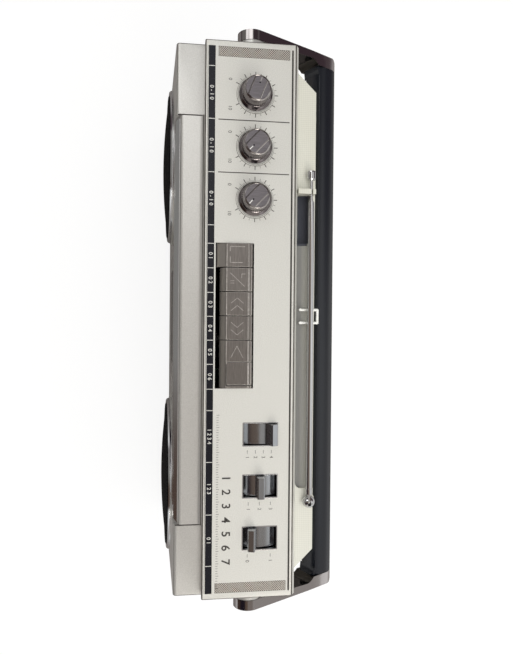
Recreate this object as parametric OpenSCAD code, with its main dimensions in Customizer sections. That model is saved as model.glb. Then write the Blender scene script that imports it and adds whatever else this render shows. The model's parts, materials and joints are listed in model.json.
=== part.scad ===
// Portable radio cassette player with a raised control deck, two domed
// speakers, a folding carrying handle and a telescopic antenna.
// X runs along the cabinet, +Y to the rear, +Z up; the floor is z = 0.

/* [Cabinet] */
// Length of the control deck, end to end
body_l = 450; // [444:1:460]
// Height from the floor to the top of the deck
body_h = 240; // [236:1:256]
// Depth of the control deck, front to back
deck_d = 76.4; // [75:0.2:80]
// Height of the deck above the ledge and the rear cover
deck_h = 8; // [7.5:0.5:10]
// Thickness of the deck plate
deck_t = 2; // [1.6:0.1:2.4]
// How far the cabinet ends lie inside the deck ends
end_in = 0.8; // [0.4:0.1:1.2]
// Distance of the front plane ahead of the deck, at deck level
front_out = 22.3; // [21:0.1:24]
// Angle by which the front leans back
lean = 3; // [2.5:0.1:3.5]
// Moulded wall thickness of the cabinet halves
wall = 2.6; // [2.4:0.1:2.8]
// Length of an end block beside the middle panel
block_l = 58.5; // [58:0.1:60]
// Set-back of the middle panel
mid_in = 3.3; // [3:0.1:3.5]
// Radius of the ledge's front edge
ledge_r = 3; // [2.8:0.1:3.6]
// Radius of the concave fillet behind the middle ledge
cove_r = 4; // [3:0.5:6]
// Depth of the rear cover behind the deck
rear_d = 16; // [15.6:0.2:17]
// How far the rear cover's ends lie inside the deck's
rear_in = 19; // [18:0.5:21]
// Height of the rubber feet
foot_h = 4; // [3:0.5:5]
// Radius of a rubber foot
foot_r = 9; // [7:0.5:11]

/* [Controls] */
// Spacing of the rotary knobs and of the lever switches
knob_pitch = 42.2; // [40:0.2:43]
// Distance of the first knob from the deck's left end
knob_in = 42.4; // [40:0.2:44]
// Distance of the knobs behind the deck's front edge
knob_y = 40.7; // [38:0.1:43]
// Radius of a knob's skirt
knob_r = 13.5; // [12.5:0.1:13.8]
// Radius of a knob's top face
knob_top_r = 9.9; // [9:0.1:11]
// Height of a knob above the deck
knob_h = 15.4; // [13:0.2:18]
// Radius of the control spindles
spindle_r = 3; // [2.8:0.1:3.2]
// Spacing of the tape keys
key_pitch = 19.5; // [19:0.1:20]
// Gap between neighbouring keys
key_gap = 0.7; // [0.6:0.1:1]
// Distance of the key opening behind the deck's front edge
key_y = 9.6; // [9:0.1:10.2]
// Depth of the key opening
key_d = 30.8; // [30.6:0.1:31.4]
// Height of the keys above the deck
key_h = 2.2; // [1.8:0.1:2.6]
// Radius of the rod that the keys turn on
rod_r = 2; // [1.8:0.1:2.2]
// Length of a lever switch window, front to back
slot_l = 28.4; // [28:0.1:29.2]
// Width of a lever switch window
slot_w = 18.8; // [18.6:0.1:19.4]
// Distance of the lever switches behind the deck's front edge
slot_y = 46.9; // [46:0.1:47.4]
// Radius of a lever's drum
drum_r = 24; // [23:0.5:24.5]
// Thickness of a lever's ridged tab
tab_t = 5.8; // [5:0.1:6.4]
// Angle of the first lever from the middle of its window
lever_a = 19; // [16:0.5:20]

/* [Front] */
// Radius of a speaker grille
grille_r = 68; // [66:0.5:69]
// Width of the bright ring round a grille
ring_w = 4.6; // [4:0.1:5]
// Depth of the speaker centres below the deck
speaker_d = 120; // [118:1:126]
// Distance of a speaker's outer ring from the deck's end
speaker_in = 2.2; // [1.6:0.1:3]
// Height of the grille's dome in front of the face
dome_h = 7.5; // [6:0.1:8]
// Gap between the dial trim and an end block
dial_gap = 1; // [0.5:0.1:3]
// Height of the dial trim
dial_h = 32; // [30:0.5:33]
// Depth of the trim's upper edge below the deck
dial_d = 12; // [11.5:0.1:12.6]
// Width of the cassette door
door_w = 118; // [116:0.5:119]
// Depth of the door's upper edge below the deck
door_top = 55; // [54:0.5:56]
// Height of the cassette door
door_h = 95; // [94:0.5:97]
// Distance of the tape deck's centre line left of the middle
tape_in = 4.1; // [3.5:0.1:4.6]

/* [Handle] */
// Distance of the handle's pivot behind the deck's front edge
pivot_y = 41; // [40:0.5:43]
// Depth of the pivot below the deck
pivot_d = 32; // [31:0.5:33]
// Angle of the folded handle below the horizontal
fold_a = 30; // [26:0.5:31]
// Length of the cabinet's pivot bosses
boss_l = 12.3; // [12:0.1:13]
// Thickness of an arm
arm_t = 8.5; // [8:0.1:9]
// Half width of an arm
arm_r = 12.2; // [11.8:0.1:12.6]
// Finger gap between the rear cover and the folded grip
grip_gap = 5.4; // [5:0.1:7]
// Depth of the grip's section
grip_d = 21.3; // [20:0.1:22]
// How far a grip's end lies inside the arm's outer face
grip_end = 10.8; // [9:0.1:13]

/* [Antenna] */
// Distance of the antenna's ball from the deck's right end
ball_in = 76.2; // [75:0.2:78]
// Radius of the ball
ball_r = 5.2; // [5:0.1:5.4]
// Distance of the antenna ahead of the cover's rear face
antenna_in = 4.4; // [4:0.1:4.8]
// Height of the antenna's axis above the rear cover
antenna_up = 4.5; // [4:0.1:4.7]
// Radius of the antenna's outer tube
tube_r = 2.6; // [2.5:0.05:2.7]
// Length of the antenna's outer tube
tube_l = 236; // [230:1:238]
// Wall of the antenna's tubes
tube_t = 0.4; // [0.35:0.05:0.45]

/* [Hidden] */
$fn = 64;

// Colours
silver = "#d2d0c8";
ledge_silver = "#c8cac4";
cream = "#e2e1d5";
ink = "#1c1c22";
chrome = "#b9bbbf";
dark_chrome = "#706c68";
grip_black = "#2b2c2f";
steel = "#9a9c9e";
board_green = "#2f6a4a";

// Fits
eps = 0.01;
fit = 0.3;
run = 0.05;
seat = 0.8;

// Planes of the deck frame, whose origin is the middle of the deck's front edge
end_x = body_l / 2 - end_in;
cover_z = -deck_h;
base_z = foot_h - body_h;
mid_l = body_l - 2 * block_l;
rear_y = deck_d + rear_d;
inner_top = cover_z - wall;
inner_base = base_z + wall;
inner_x = end_x - wall;

// Front face: depth below the deck becomes distance down the leaning face
ring_r = grille_r + ring_w;
speaker_x = body_l / 2 - speaker_in - ring_r;
speaker_s = speaker_d / cos(lean);
pad_r = ring_r + 1.7;
pad_t = mid_in + wall;
cone_r = grille_r - 8;
brim_h = 3.7;
ring_h = 2.9;
dome_curve_r = (cone_r * cone_r + pow(dome_h - brim_h, 2)) / (2 * (dome_h - brim_h));

// Handle, with u along the arm from the pivot
boss_x = end_x + boss_l;
arm_in = boss_x + fit;
arm_out = arm_in + arm_t;
pin_r = 5;
grip_edge_w = 9.3;
grip_edge_u = 1.5;
grip_in = (rear_y + grip_gap - pivot_y + grip_edge_w * sin(fold_a)) / cos(fold_a) - grip_edge_u;
grip_out = grip_in + grip_d;

// Where the floor frame's origin lies: the middle of the model's box
front_most = -front_out - speaker_s * sin(lean) - dome_h * cos(lean)
  - dome_curve_r * (1 - cos(lean));
rear_most = pivot_y + grip_out * cos(fold_a) + 8.5 * sin(fold_a);
deck_y = -(front_most + rear_most) / 2;

// Knobs, keys and levers
knob_x0 = knob_in - body_l / 2;
key_x0 = -tape_in - 3 * key_pitch;
key_top_y = key_y + 8.6;
key_back_y = key_y + 26.2;
key_rear = key_y + 29.7;
key_front = key_y + 3.7;
pause_front = key_y + 0.8;
slope_z = -3;
key_wall = 1.6;
rod_y = key_y + 35.4;
rod_z = -12;
eye_r = 4;
slot_x0 = body_l / 2 - 48.7 - 2 * knob_pitch;
lever_z = -deck_t - drum_r;
lever_w = slot_w - 2.2;
lever_pin_r = 1.5;
bezel_w = 0.4;
bezel_h = 0.2;
lip_h = 5.4;
tab_l = 17;
tab_h = 10.5;
recess = 0.8;

// Tape deck, measured down the face from the deck's level
tape_x = -tape_in;
door_s = door_top / cos(lean);
hinge_r = 5;
door_n = -1.5;
door_t = 3;
door_corner_r = 0.6;
hinge_s = door_s + door_h - hinge_r;
hinge_n = door_n - hinge_r;
hinge_pin_r = 1.5;
hinge_pin_l = 4;
cassette_w = 102;
cassette_t = 12.6;
cassette_s = door_s + 21;
cassette_h = 64;
pocket_n = door_n - door_t - cassette_t;
pocket_t = 1.5;
chassis_n = pocket_n - pocket_t - 3.8;
chassis_t = 1.6;
reel_dx = 21.25;
reel_s = cassette_s + 29;
reel_pin_r = 3;
capstan_s = cassette_s + 6;
capstan_r = 1.2;
flywheel_r = 27;
flywheel_n = chassis_n - 20;
flywheel_t = 12;
roller_r = 6;
head_travel = 5.5;
roller_s = capstan_s - roller_r - capstan_r - head_travel - fit;
motor_x = tape_x - 38;
motor_s = reel_s + 22;
motor_r = 18;
motor_l = 22;
pulley_r = 4;
belt_t = 1.2;
belt_w = 3;

// Dial
dial_s = dial_d / cos(lean);
dial_l = mid_l - 2 * dial_gap;
dial_mid_s = dial_s + dial_h / 2;
window_l = dial_l - 16;
window_h = dial_h - 10;
scale_t = 1;
scale_n = -mid_in - wall - 3;
tuning_y = 30;
tuning_d = 75;
tuning_r = 17;
tuning_h = 9.5;
cord_r = 6;
dial_drum_r = 20;
drum_x = inner_x - 16;
pointer_x = -40;

// Rear cover
rear_l = body_l - 2 * rear_in;
bevel_x = rear_l / 2 - rear_d;
ball_x = body_l / 2 - ball_in;
root_x = ball_x - 10.8;
tip_x = root_x - tube_l;
groove_x0 = tip_x - 8;
groove_x1 = root_x + 1;
groove_h = 1.2;
groove_y = deck_d + 0.8;
groove_r = 5;
trough_h = 3.6;
pocket_x1 = tip_x + 33;
pocket_h = 9;
bay_l = 198;
bay_h = 72;
bay_d = 37;
bay_x = bay_l / 2 + 41 - bevel_x;
bay_z = base_z + bay_h / 2 + 50;
bay_wall = 1.8;
lid_t = 3;
lid_rim = 3;
lid_pin_r = 1;
frame_t = 6.6;
panel_w = 66;
panel_h = 26;
panel_x = bevel_x - panel_w / 2 - 17;
panel_z = base_z + panel_h / 2 + 18;
jack_r = 3.2;
jack_pitch = 13;
antenna_y = rear_y - antenna_in;
antenna_z = cover_z + antenna_up;
post_r = 3;
second_r = tube_r - tube_t - run;
third_r = second_r - tube_t - run;
rod_tip_r = third_r - tube_t - run + 0.1;

// Frames and plain shapes
module at_deck() translate([0, deck_y, body_h]) children();

module on_face() at_deck() translate([0, -front_out, 0]) rotate([90 - lean, 0, 0]) children();

module at_pivot() at_deck() translate([0, pivot_y, -pivot_d]) rotate([-fold_a, 0, 0]) children();

module block(lo, hi) translate(lo) cube(hi - lo);

module slab(x0, x1, outline) translate([x0, 0, 0]) rotate([90, 0, 90])
  linear_extrude(x1 - x0) polygon(outline);

module bar(x0, x1, r) translate([x0, 0, 0]) rotate([0, 90, 0]) cylinder(r = r, h = x1 - x0);

module both_ends() for (side = [0, 1]) mirror([side, 0, 0]) children();

function arc(cx, cy, r, a0, a1, n = 6) =
  [for (i = [0:n]) let (a = a0 + (a1 - a0) * i / n) [cx + r * cos(a), cy + r * sin(a)]];

function rounded(w, h, r, n = 5) = concat(
  arc(w / 2 - r, h / 2 - r, r, 0, 90, n), arc(r - w / 2, h / 2 - r, r, 90, 180, n),
  arc(r - w / 2, r - h / 2, r, 180, 270, n), arc(w / 2 - r, r - h / 2, r, 270, 360, n));

// Cross-section of the cabinet: set back by s, shrunk by t, open to y = back
function face_y(z, s) = z * tan(lean) - front_out + s / cos(lean);

function cabinet_section(s, t, back) = let (
    top = cover_z - t, low = base_z + t, r = max(ledge_r - t, 0.5),
    cap = arc(face_y(top - r, s + t) + r / cos(lean), top - r, r, 90, 180 - lean),
    toe = arc(face_y(low + r, s + t) + r / cos(lean), low + r, r, 180 - lean, 270))
  concat([[back, low], [back, top]], cap, toe);

// Front cabinet: moulded shell with set-back middle, speaker pads and handle bosses
module cabinet_shell() difference() {
  union() {
    slab(-end_x, end_x, cabinet_section(mid_in, 0, deck_d));
    both_ends() slab(mid_l / 2, end_x, cabinet_section(0, 0, deck_d));
    slab(-mid_l / 2, mid_l / 2,
      concat([[0, cover_z - eps]], arc(-cove_r, cover_z + cove_r, cove_r, 270, 360)));
  }
  slab(-inner_x, inner_x, cabinet_section(mid_in, wall, deck_d + 1));
  both_ends() slab(mid_l / 2 + wall, inner_x, cabinet_section(0, wall, deck_d + 1));
}

module at_speakers() both_ends() translate([speaker_x, -speaker_s, 0]) children();

module screw_posts() both_ends() for (z = screw_z)
  block([post_x - 4, deck_d - wall - 14, z - 4], [inner_x + eps, deck_d - wall - fit, z + 4]);

module hinge_lugs() for (side = [-1, 1])
  translate([tape_x + side * (door_w / 2 + fit + hinge_pin_l / 2 + 1.2), -hinge_s, 0])
    block([-hinge_pin_l / 2 - 1.2, -5, hinge_n - 4], [hinge_pin_l / 2 + 1.2, 5, -mid_in - wall + eps]);

module front_cabinet() color(ledge_silver) difference() {
  union() {
    at_deck() cabinet_shell();
    on_face() at_speakers() translate([0, 0, -pad_t]) cylinder(r = pad_r, h = pad_t);
    at_deck() translate([0, pivot_y, -pivot_d]) both_ends() bar(inner_x - 3, boss_x, arm_r - 0.2);
    at_deck() screw_posts();
    on_face() hinge_lugs();
    at_deck() at_board_posts() translate([0, 0, inner_base - eps]) cylinder(r = 4, h = board_z - inner_base);
  }
  on_face() at_speakers() translate([0, 0, -pad_t - 1]) cylinder(r = cone_r, h = pad_t + 2);
  on_face() translate([0, -dial_mid_s, -mid_in - wall - 1]) linear_extrude(wall + 2)
    square([window_l + 2 * fit, window_h + 2 * fit], center = true);
  on_face() translate([tape_x, -door_s - door_h / 2, -mid_in - wall - 1]) linear_extrude(wall + 2)
    polygon(rounded(door_w + 2 * fit, door_h + 2 * fit, door_corner_r, 2));
  on_face() translate([tape_x, -hinge_s, hinge_n])
    bar(-door_w / 2 - fit - hinge_pin_l, door_w / 2 + fit + hinge_pin_l, hinge_pin_r + run);
  at_deck() block([-inner_x + 4, 4, inner_top - 1], [inner_x - 4, deck_d - 4, cover_z + 1]);
  at_deck() translate([0, pivot_y, -pivot_d]) both_ends() bar(inner_x - 4, boss_x + 1, pin_r);
  at_deck() translate([0, tuning_y, -tuning_d]) bar(inner_x - 1, end_x + 1, spindle_r + run);
  at_deck() both_ends() for (z = screw_z) translate([post_x, deck_d - wall - 15, z])
    rotate([-90, 0, 0]) cylinder(r = 1.5, h = 16);
  at_deck() both_ends() translate([mid_l / 2, 0, 0])
    block([-0.5, -front_out, cover_z - 1.2], [0.5, -0.6, cover_z + 1]);
}

// Rear cover: tub with bevelled ends, antenna groove, battery opening and vents
post_x = end_x - 11;
screw_z = [-70, base_z / 2 - 22, base_z + 21];

function rear_plan(t) = let (k = t * tan(22.5)) [
  [-rear_l / 2 + t, deck_d - wall - 1], [-rear_l / 2 + t, deck_d + k], [-bevel_x + k, rear_y - t],
  [bevel_x - k, rear_y - t], [rear_l / 2 - t, deck_d + k], [rear_l / 2 - t, deck_d - wall - 1]];

module rear_tub() difference() {
  intersection() {
    translate([0, 0, base_z]) linear_extrude(cover_z - base_z) polygon(rear_plan(0));
    block([-rear_l, deck_d, base_z - 1], [rear_l, rear_y + 1, 1]);
  }
  translate([0, 0, inner_base]) linear_extrude(inner_top - inner_base) polygon(rear_plan(wall));
}

module rear_flange() difference() {
  block([-inner_x + fit, deck_d - wall, inner_base + fit], [inner_x - fit, deck_d + eps, inner_top - fit]);
  translate([0, 0, inner_base + 2 * wall]) linear_extrude(inner_top - inner_base - 4 * wall)
    polygon(rear_plan(2 * wall));
}

// Trough along the antenna, deep beside the deck and shallow under the rod
module groove() intersection() {
  slab(groove_x0, groove_x1, [[groove_y, cover_z + 1], [groove_y, cover_z - trough_h + 1],
    [groove_y + 1.2, cover_z - trough_h + 0.2], [groove_y + 2.8, cover_z - trough_h],
    [groove_y + 5.2, cover_z - trough_h + 0.6], [groove_y + 7.4, cover_z - trough_h + 1.6],
    [antenna_y - 1.6, cover_z - groove_h], [rear_y + 1, cover_z - groove_h], [rear_y + 1, cover_z + 1]]);
  translate([0, 0, cover_z - pocket_h]) linear_extrude(pocket_h + 2) polygon(concat(
    [[groove_x0, rear_y + 2], [groove_x0, groove_y]],
    arc(groove_x1 - groove_r, groove_y + groove_r, groove_r, -90, 0), [[groove_x1, rear_y + 2]]));
}

module rear_cabinet() color(cream) at_deck() difference() {
  union() {
    rear_tub();
    rear_flange();
    block([bay_x - bay_l / 2 - lid_rim - 5, rear_y - frame_t, bay_z - bay_h / 2 - lid_rim - 3],
      [bay_x + bay_l / 2 + lid_rim + 5, rear_y - wall + eps, bay_z + bay_h / 2 + lid_rim + 3]);
    block([groove_x0 - 2, deck_d, cover_z - pocket_h - 2], [pocket_x1 + 2, rear_y - 1, inner_top + eps]);
    block([groove_x0 - 2, deck_d, cover_z - trough_h - 2], [groove_x1 + 2, antenna_y, inner_top + eps]);
    translate([ball_x, antenna_y, cover_z - 12]) cylinder(r = post_r + 3, h = 10);
    block([ball_x - 6, antenna_y, cover_z - 12], [ball_x + 6, rear_y - 1, inner_top]);
  }
  groove();
  block([groove_x0, deck_d + 1.2, cover_z - pocket_h], [pocket_x1, rear_y - 3.4, cover_z]);
  translate([ball_x, antenna_y, cover_z - 10]) cylinder(r = post_r + run, h = 11);
  block([bay_x - bay_l / 2, rear_y - 20, bay_z - bay_h / 2], [bay_x + bay_l / 2, rear_y + 1, bay_z + bay_h / 2]);
  lid_recess();
  block([panel_x - panel_w / 2 + 2, rear_y - 10, panel_z - panel_h / 2 + 2],
    [panel_x + panel_w / 2 - 2, rear_y + 1, panel_z + panel_h / 2 - 2]);
  for (i = [0:9], z = [-96, -128])
    translate([bevel_x - 75 + 7 * i, rear_y - 4, z - 12]) cube([3, 5, 24]);
  both_ends() for (z = screw_z) translate([post_x, deck_d - wall - 1, z]) rotate([-90, 0, 0]) {
    cylinder(r = 1.7, h = wall + 2);
    translate([0, 0, wall - 0.2]) cylinder(r = 3.6, h = 2);
  }
}

module lid_recess() {
  block([bay_x - bay_l / 2 - lid_rim, rear_y - lid_t - fit, bay_z - bay_h / 2 - lid_rim],
    [bay_x + bay_l / 2 + lid_rim, rear_y + 1, bay_z + bay_h / 2 + lid_rim]);
  translate([0, rear_y - lid_t / 2, lid_axis_z])
    bar(bay_x - bay_l / 2 - lid_rim - 3, bay_x + bay_l / 2 + lid_rim + 3, lid_pin_r + run);
}

lid_axis_z = bay_z - bay_h / 2 - lid_rim + fit + lid_t / 2;

// Deck plate: shallow tray with openings for keys, knobs and levers
module at_knobs() for (i = [0:2]) translate([knob_x0 + i * knob_pitch, knob_y, 0]) children();

module at_slots() for (i = [0:2]) translate([slot_x0 + i * knob_pitch, slot_y, 0]) children();

function deck_section(t) = concat([[t, cover_z - t]], arc(1 + t, -1 - t, 1, 180, 90, 3),
  [[deck_d - 2.4 - t, -t], [deck_d - t, -4 - t], [deck_d - t, cover_z - t]]);

module deck_plate() color(silver) at_deck() difference() {
  union() {
    difference() {
      slab(-body_l / 2, body_l / 2, deck_section(0));
      slab(-body_l / 2 + deck_t, body_l / 2 - deck_t, deck_section(deck_t));
    }
    at_knobs() translate([0, 0, -eps]) difference() {
      cylinder(r = knob_r + 1.8, h = 0.5);
      translate([0, 0, -1]) cylinder(r = knob_r + 0.8, h = 2);
    }
    both_ends() for (y = [12, deck_d - 12])
      translate([body_l / 2 - 12, y, cover_z - 2]) cylinder(r = 3, h = deck_h);
  }
  at_knobs() translate([0, 0, -5]) cylinder(r = bushing_r, h = 6);
  at_slots() translate([0, 0, -5]) linear_extrude(6) square([slot_w, slot_l], center = true);
  block([key_x0, key_y, -5], [key_x0 + 6 * key_pitch, key_y + key_d, 1]);
  block([-strip_x, 2.8, -recess], [strip_x, 8.1, 1]);
  block([-strip_x, 70.4, -0.6], [strip_x, 71.6, 1]);
  both_ends() block([body_l / 2 - 13, 10.8, -0.4], [body_l / 2 - 5.2, 68.5, 1]);
  for (i = [0, 1]) translate([knob_x0 + (i + 0.5) * knob_pitch, 0, 0])
    block([-0.25, 11, -0.3], [0.25, 68.5, 1]);
}

bushing_r = 4.6;
strip_x = body_l / 2 - 5;

// Black label strip let into the deck
module label_strip() color(ink) at_deck()
  block([-strip_x, 2.8, -recess], [strip_x, 8.1, 0]);

// Bright frames round the lever windows, with a lip down the hole
module switch_bezels() color(chrome) at_deck() at_slots() difference() {
  union() {
    linear_extrude(bezel_h) polygon(rounded(slot_w + 2 * bezel_w, slot_l + 2 * bezel_w, 0.6, 3));
    translate([0, 0, -lip_h]) linear_extrude(lip_h + eps) square([slot_w, slot_l], center = true);
  }
  translate([0, 0, -lip_h - 1]) linear_extrude(lip_h + 3) square([slot_w - 0.8, slot_l - 0.8], center = true);
}

// Potentiometers: cans hung under the deck by their bushings
pot_r = 10.5;
pot_h = 8;
module potentiometers() color(steel) at_deck() at_knobs() difference() {
  union() {
    translate([0, 0, -deck_t - pot_h]) cylinder(r = pot_r, h = pot_h);
    translate([0, 0, -deck_t - eps]) cylinder(r = bushing_r, h = deck_t + 0.4);
    for (x = [-5, 0, 5]) block([x - 0.7, -pot_r - 6, -deck_t - 4.4], [x + 0.7, -pot_r + 2, -deck_t - 3.8]);
  }
  translate([0, 0, -deck_t - pot_h + 1]) cylinder(r = spindle_r + run, h = pot_h + deck_t + 2);
}

// Knob with dished top, pointer slot and its spindle
module knob(i, turn) color(dark_chrome) at_deck() translate([knob_x0 + i * knob_pitch, knob_y, 0])
  rotate([0, 0, turn]) difference() {
    union() {
      rotate_extrude() polygon([[0, seat], [knob_r - 0.4, seat], [knob_r, seat + 0.4], [knob_r, 2.3],
        [knob_r - 0.4, 2.7], [knob_r - 1.3, 3.1], [knob_r - 2, 4], [knob_top_r + 0.8, knob_h - 2.2],
        [knob_top_r + 0.5, knob_h - 1], [knob_top_r, knob_h - 0.1], [knob_top_r - 0.3, knob_h],
        [knob_top_r - 0.8, knob_h - 0.3], [0, knob_h - 0.3]]);
      translate([0, 0, -deck_t - pot_h + 1.5]) cylinder(r = spindle_r, h = deck_t + pot_h);
    }
    block([-0.6, 2, knob_h - 0.9], [0.6, knob_top_r + 1, knob_h + 1]);
  }

module volume_knob() knob(0, 68);
module bass_knob() knob(1, -134);
module treble_knob() knob(2, -134);

// Lever switches: a drum sector on a pin, with a ridged tab through the window
module at_lever(i) at_deck() translate([slot_x0 + i * knob_pitch, slot_y, lever_z]) children();

module switch_frames() color(steel) for (i = [0:2]) at_lever(i) {
  difference() {
    union() {
      both_ends() block([slot_w / 2 + 0.6, -9, -8], [slot_w / 2 + 2, 9, -lever_z - deck_t]);
      block([-slot_w / 2 - 2, -9, -9.4], [slot_w / 2 + 2, 9, -8 + eps]);
    }
    bar(-slot_w, slot_w, lever_pin_r);
  }
  bar(-slot_w / 2 - 3, slot_w / 2 + 3, lever_pin_r);
}

module lever(i, turn) color("#4a4846") at_lever(i) rotate([-turn, 0, 0]) difference() {
  union() {
    difference() {
      intersection() {
        bar(-lever_w / 2, lever_w / 2, drum_r);
        slab(-lever_w / 2, lever_w / 2, [[0, -4], [-drum_r * 2, drum_r * 1.1], [drum_r * 2, drum_r * 1.1]]);
      }
      bar(-lever_w / 2 + 1.4, lever_w / 2 - 1.4, drum_r - 2);
    }
    bar(-lever_w / 2, lever_w / 2, 4);
    slab(-tab_l / 2, tab_l / 2, [[-tab_t / 2 - 0.6, drum_r - 1], [tab_t / 2 + 0.6, drum_r - 1],
      [tab_t / 2, drum_r + tab_h - 0.8], [tab_t / 2 - 0.8, drum_r + tab_h],
      [0.8 - tab_t / 2, drum_r + tab_h], [-tab_t / 2, drum_r + tab_h - 0.8]]);
  }
  bar(-lever_w, lever_w, lever_pin_r + run);
  for (side = [-1, 1], k = [0:3]) translate([0, side * (tab_t / 2 + 0.25), drum_r + 3 + 1.9 * k])
    rotate([45, 0, 0]) cube([tab_l + 1, 0.9, 0.9], center = true);
}

module function_lever() lever(0, lever_a);
module band_lever() lever(1, 0);
module power_lever() lever(2, -13);

// Rod that the six keys turn on
module key_rod() color(steel) at_deck() translate([0, rod_y, rod_z])
  bar(key_x0 - 4, key_x0 + 6 * key_pitch + 4, rod_r);

// Tape keys: hollow caps with a sloping front, hinged at the back
function key_outline(front) = [[front, rod_z + 3], [front, slope_z], [key_top_y - 1, key_h - 1],
  [key_top_y, key_h], [key_back_y, key_h], [key_back_y + 0.7, key_h - 0.8],
  [key_rear - 0.7, key_h - 1], [key_rear, key_h - 1.8], [key_rear, rod_z + 6],
  [rod_y, rod_z + eye_r], [rod_y, rod_z - eye_r + 1], [key_rear - 1, rod_z + 1], [front + 1, rod_z + 1]];

function key_hollow(front) = [[front + key_wall, rod_z], [front + key_wall, slope_z - 1],
  [max(front + key_wall, key_top_y + 0.8), key_h - 2], [key_back_y - 1, key_h - 2],
  [key_back_y, key_h - 3], [key_rear - key_wall, slope_z], [key_rear - key_wall, rod_z]];

module key_cap(x0, x1, front) difference() {
  union() {
    slab(x0, x1, [for (p = key_outline(front)) [min(p[0], key_rear), p[1]]]);
    slab((x0 + x1) / 2 - 4, (x0 + x1) / 2 + 4, key_outline(front));
    translate([0, rod_y, rod_z]) bar((x0 + x1) / 2 - 4, (x0 + x1) / 2 + 4, eye_r);
  }
  slab(x0 + 1.5, x1 - 1.5, key_hollow(front));
  translate([0, rod_y, rod_z]) bar(x0 - 1, x1 + 1, rod_r + run);
}

function key_left(i) = key_x0 + i * key_pitch + key_gap / 2;
function key_right(i) = key_x0 + (i + 1) * key_pitch - key_gap / 2;

module plain_key(i, front) color(dark_chrome) at_deck() key_cap(key_left(i), key_right(i), front);

module pause_key() plain_key(0, pause_front);
module stop_key() plain_key(1, key_front);
module forward_key() plain_key(2, key_front);
module rewind_key() plain_key(3, key_front);

// The play key runs on round the front and right of the record key
rim_t = 2;
record_left = key_left(5) - 1.9;
record_right = key_right(5) - rim_t - 0.6;
record_front = key_top_y + 0.5;
play_right = record_left - 0.5;

module play_key() color(dark_chrome) at_deck() {
  key_cap(key_left(4), play_right, key_front);
  intersection() {
    slab(play_right - 1, key_right(5), key_outline(key_front));
    union() {
      slab(play_right - 1, key_right(5), [[key_front - 1, rod_z], [key_top_y - 2.4, rod_z],
        [key_top_y - 1.7, slope_z + 0.8], [key_top_y, key_h], [key_front - 1, key_h]]);
      block([key_right(5) - rim_t, key_front, rod_z + 4], [key_right(5), key_rear, key_h + 1]);
    }
  }
}

module record_key() color("#5c4340") at_deck() intersection() {
  key_cap(record_left, record_right, record_front);
  block([record_left - 1, record_front, rod_z - 9], [record_right + 1, rod_y + 9, key_h - 0.2]);
}

// Speakers
module speaker_rings() color(chrome) on_face() at_speakers() rotate_extrude($fn = 96)
  polygon([[grille_r + fit, 0], [ring_r, 0], [ring_r, ring_h - 1.3], [ring_r - 1.3, ring_h],
    [grille_r + 1.4, ring_h], [grille_r + fit, ring_h - 1]]);

module speaker_grilles() color(ink) on_face() at_speakers() rotate_extrude($fn = 96)
  polygon(concat([[grille_r, 0], [grille_r, brim_h - 0.8], [grille_r - 0.8, brim_h], [cone_r, brim_h]],
    [for (r = [cone_r - 2:-cone_r / 12:0]) [r, dome_z(r)]], [[0, dome_z(0)], [0, dome_z(0) - 1.2]],
    [for (r = [cone_r / 12:cone_r / 12:cone_r - 1]) [r, dome_z(r) - 1.2]], [[cone_r, brim_h - 1.2],
    [grille_r - 2, brim_h - 1.2], [grille_r - 2, 0]]));

function dome_z(r) = brim_h + sqrt(pow(dome_curve_r, 2) - r * r) - dome_curve_r + dome_h - brim_h;

module speaker_drivers() on_face() at_speakers() translate([0, 0, -pad_t]) {
  color(steel) difference() {
    rotate_extrude() polygon([[cone_r + 5, 0], [cone_r + 5, -1.2], [cone_r - 3, -1.2], [cone_r - 8, -7],
      [24, -32], [24, -36], [8, -36], [8, -34.8], [22.8, -34.8], [22.8, -31.5], [cone_r - 9.2, -6.2],
      [cone_r - 4, 0]]);
    for (a = [0:60:300]) rotate([0, 0, a + 30]) translate([cone_r - 20, 0, -18])
      rotate([0, -40, 0]) cube([26, 18, 12], center = true);
  }
  color(ink) rotate_extrude() polygon([[cone_r - 1, 0], [cone_r - 4.5, 0], [cone_r - 6, -2],
    [13, -27], [13, -34], [12, -34], [12, -27], [8, -22], [0, -20], [0, -19], [8.5, -21],
    [12.6, -25.4], [cone_r - 5.4, -1], [cone_r - 4, 2], [cone_r - 1.6, 2]]);
  color(steel) difference() {
    translate([0, 0, -58]) cylinder(r = 35, h = 22);
    translate([0, 0, -52]) cylinder(r = 14, h = 20);
    translate([0, 0, -47]) difference() {
      cylinder(r = 36, h = 3);
      cylinder(r = 30, h = 3);
    }
  }
}

// Dial: scale tray, clear window and mitred bright trim
module dial_scale() color("#23262a") on_face() translate([0, -dial_mid_s, 0]) difference() {
  translate([0, 0, scale_n - scale_t]) linear_extrude(-mid_in - wall - scale_n + scale_t)
    square([window_l + 8, window_h + 6], center = true);
  translate([0, 0, scale_n]) linear_extrude(20) square([window_l + 4, window_h + 2], center = true);
}

module dial_window() color([0.75, 0.8, 0.8, 0.5]) on_face()
  translate([0, -dial_mid_s, -mid_in - 1.8]) linear_extrude(1.8)
    square([window_l, window_h], center = true);

module dial_trim() color(chrome) on_face() translate([0, -dial_mid_s, -mid_in]) difference() {
  hull() {
    linear_extrude(0.4) square([dial_l, dial_h], center = true);
    linear_extrude(mid_in) square([dial_l - 6, dial_h - 6], center = true);
  }
  translate([0, 0, -eps]) linear_extrude(1) square([window_l - 6, window_h - 5], center = true);
  hull() {
    translate([0, 0, 0.6]) linear_extrude(0.1) square([window_l - 6, window_h - 5], center = true);
    translate([0, 0, mid_in]) linear_extrude(0.1) square([dial_l - 10, dial_h - 10], center = true);
  }
}

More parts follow.
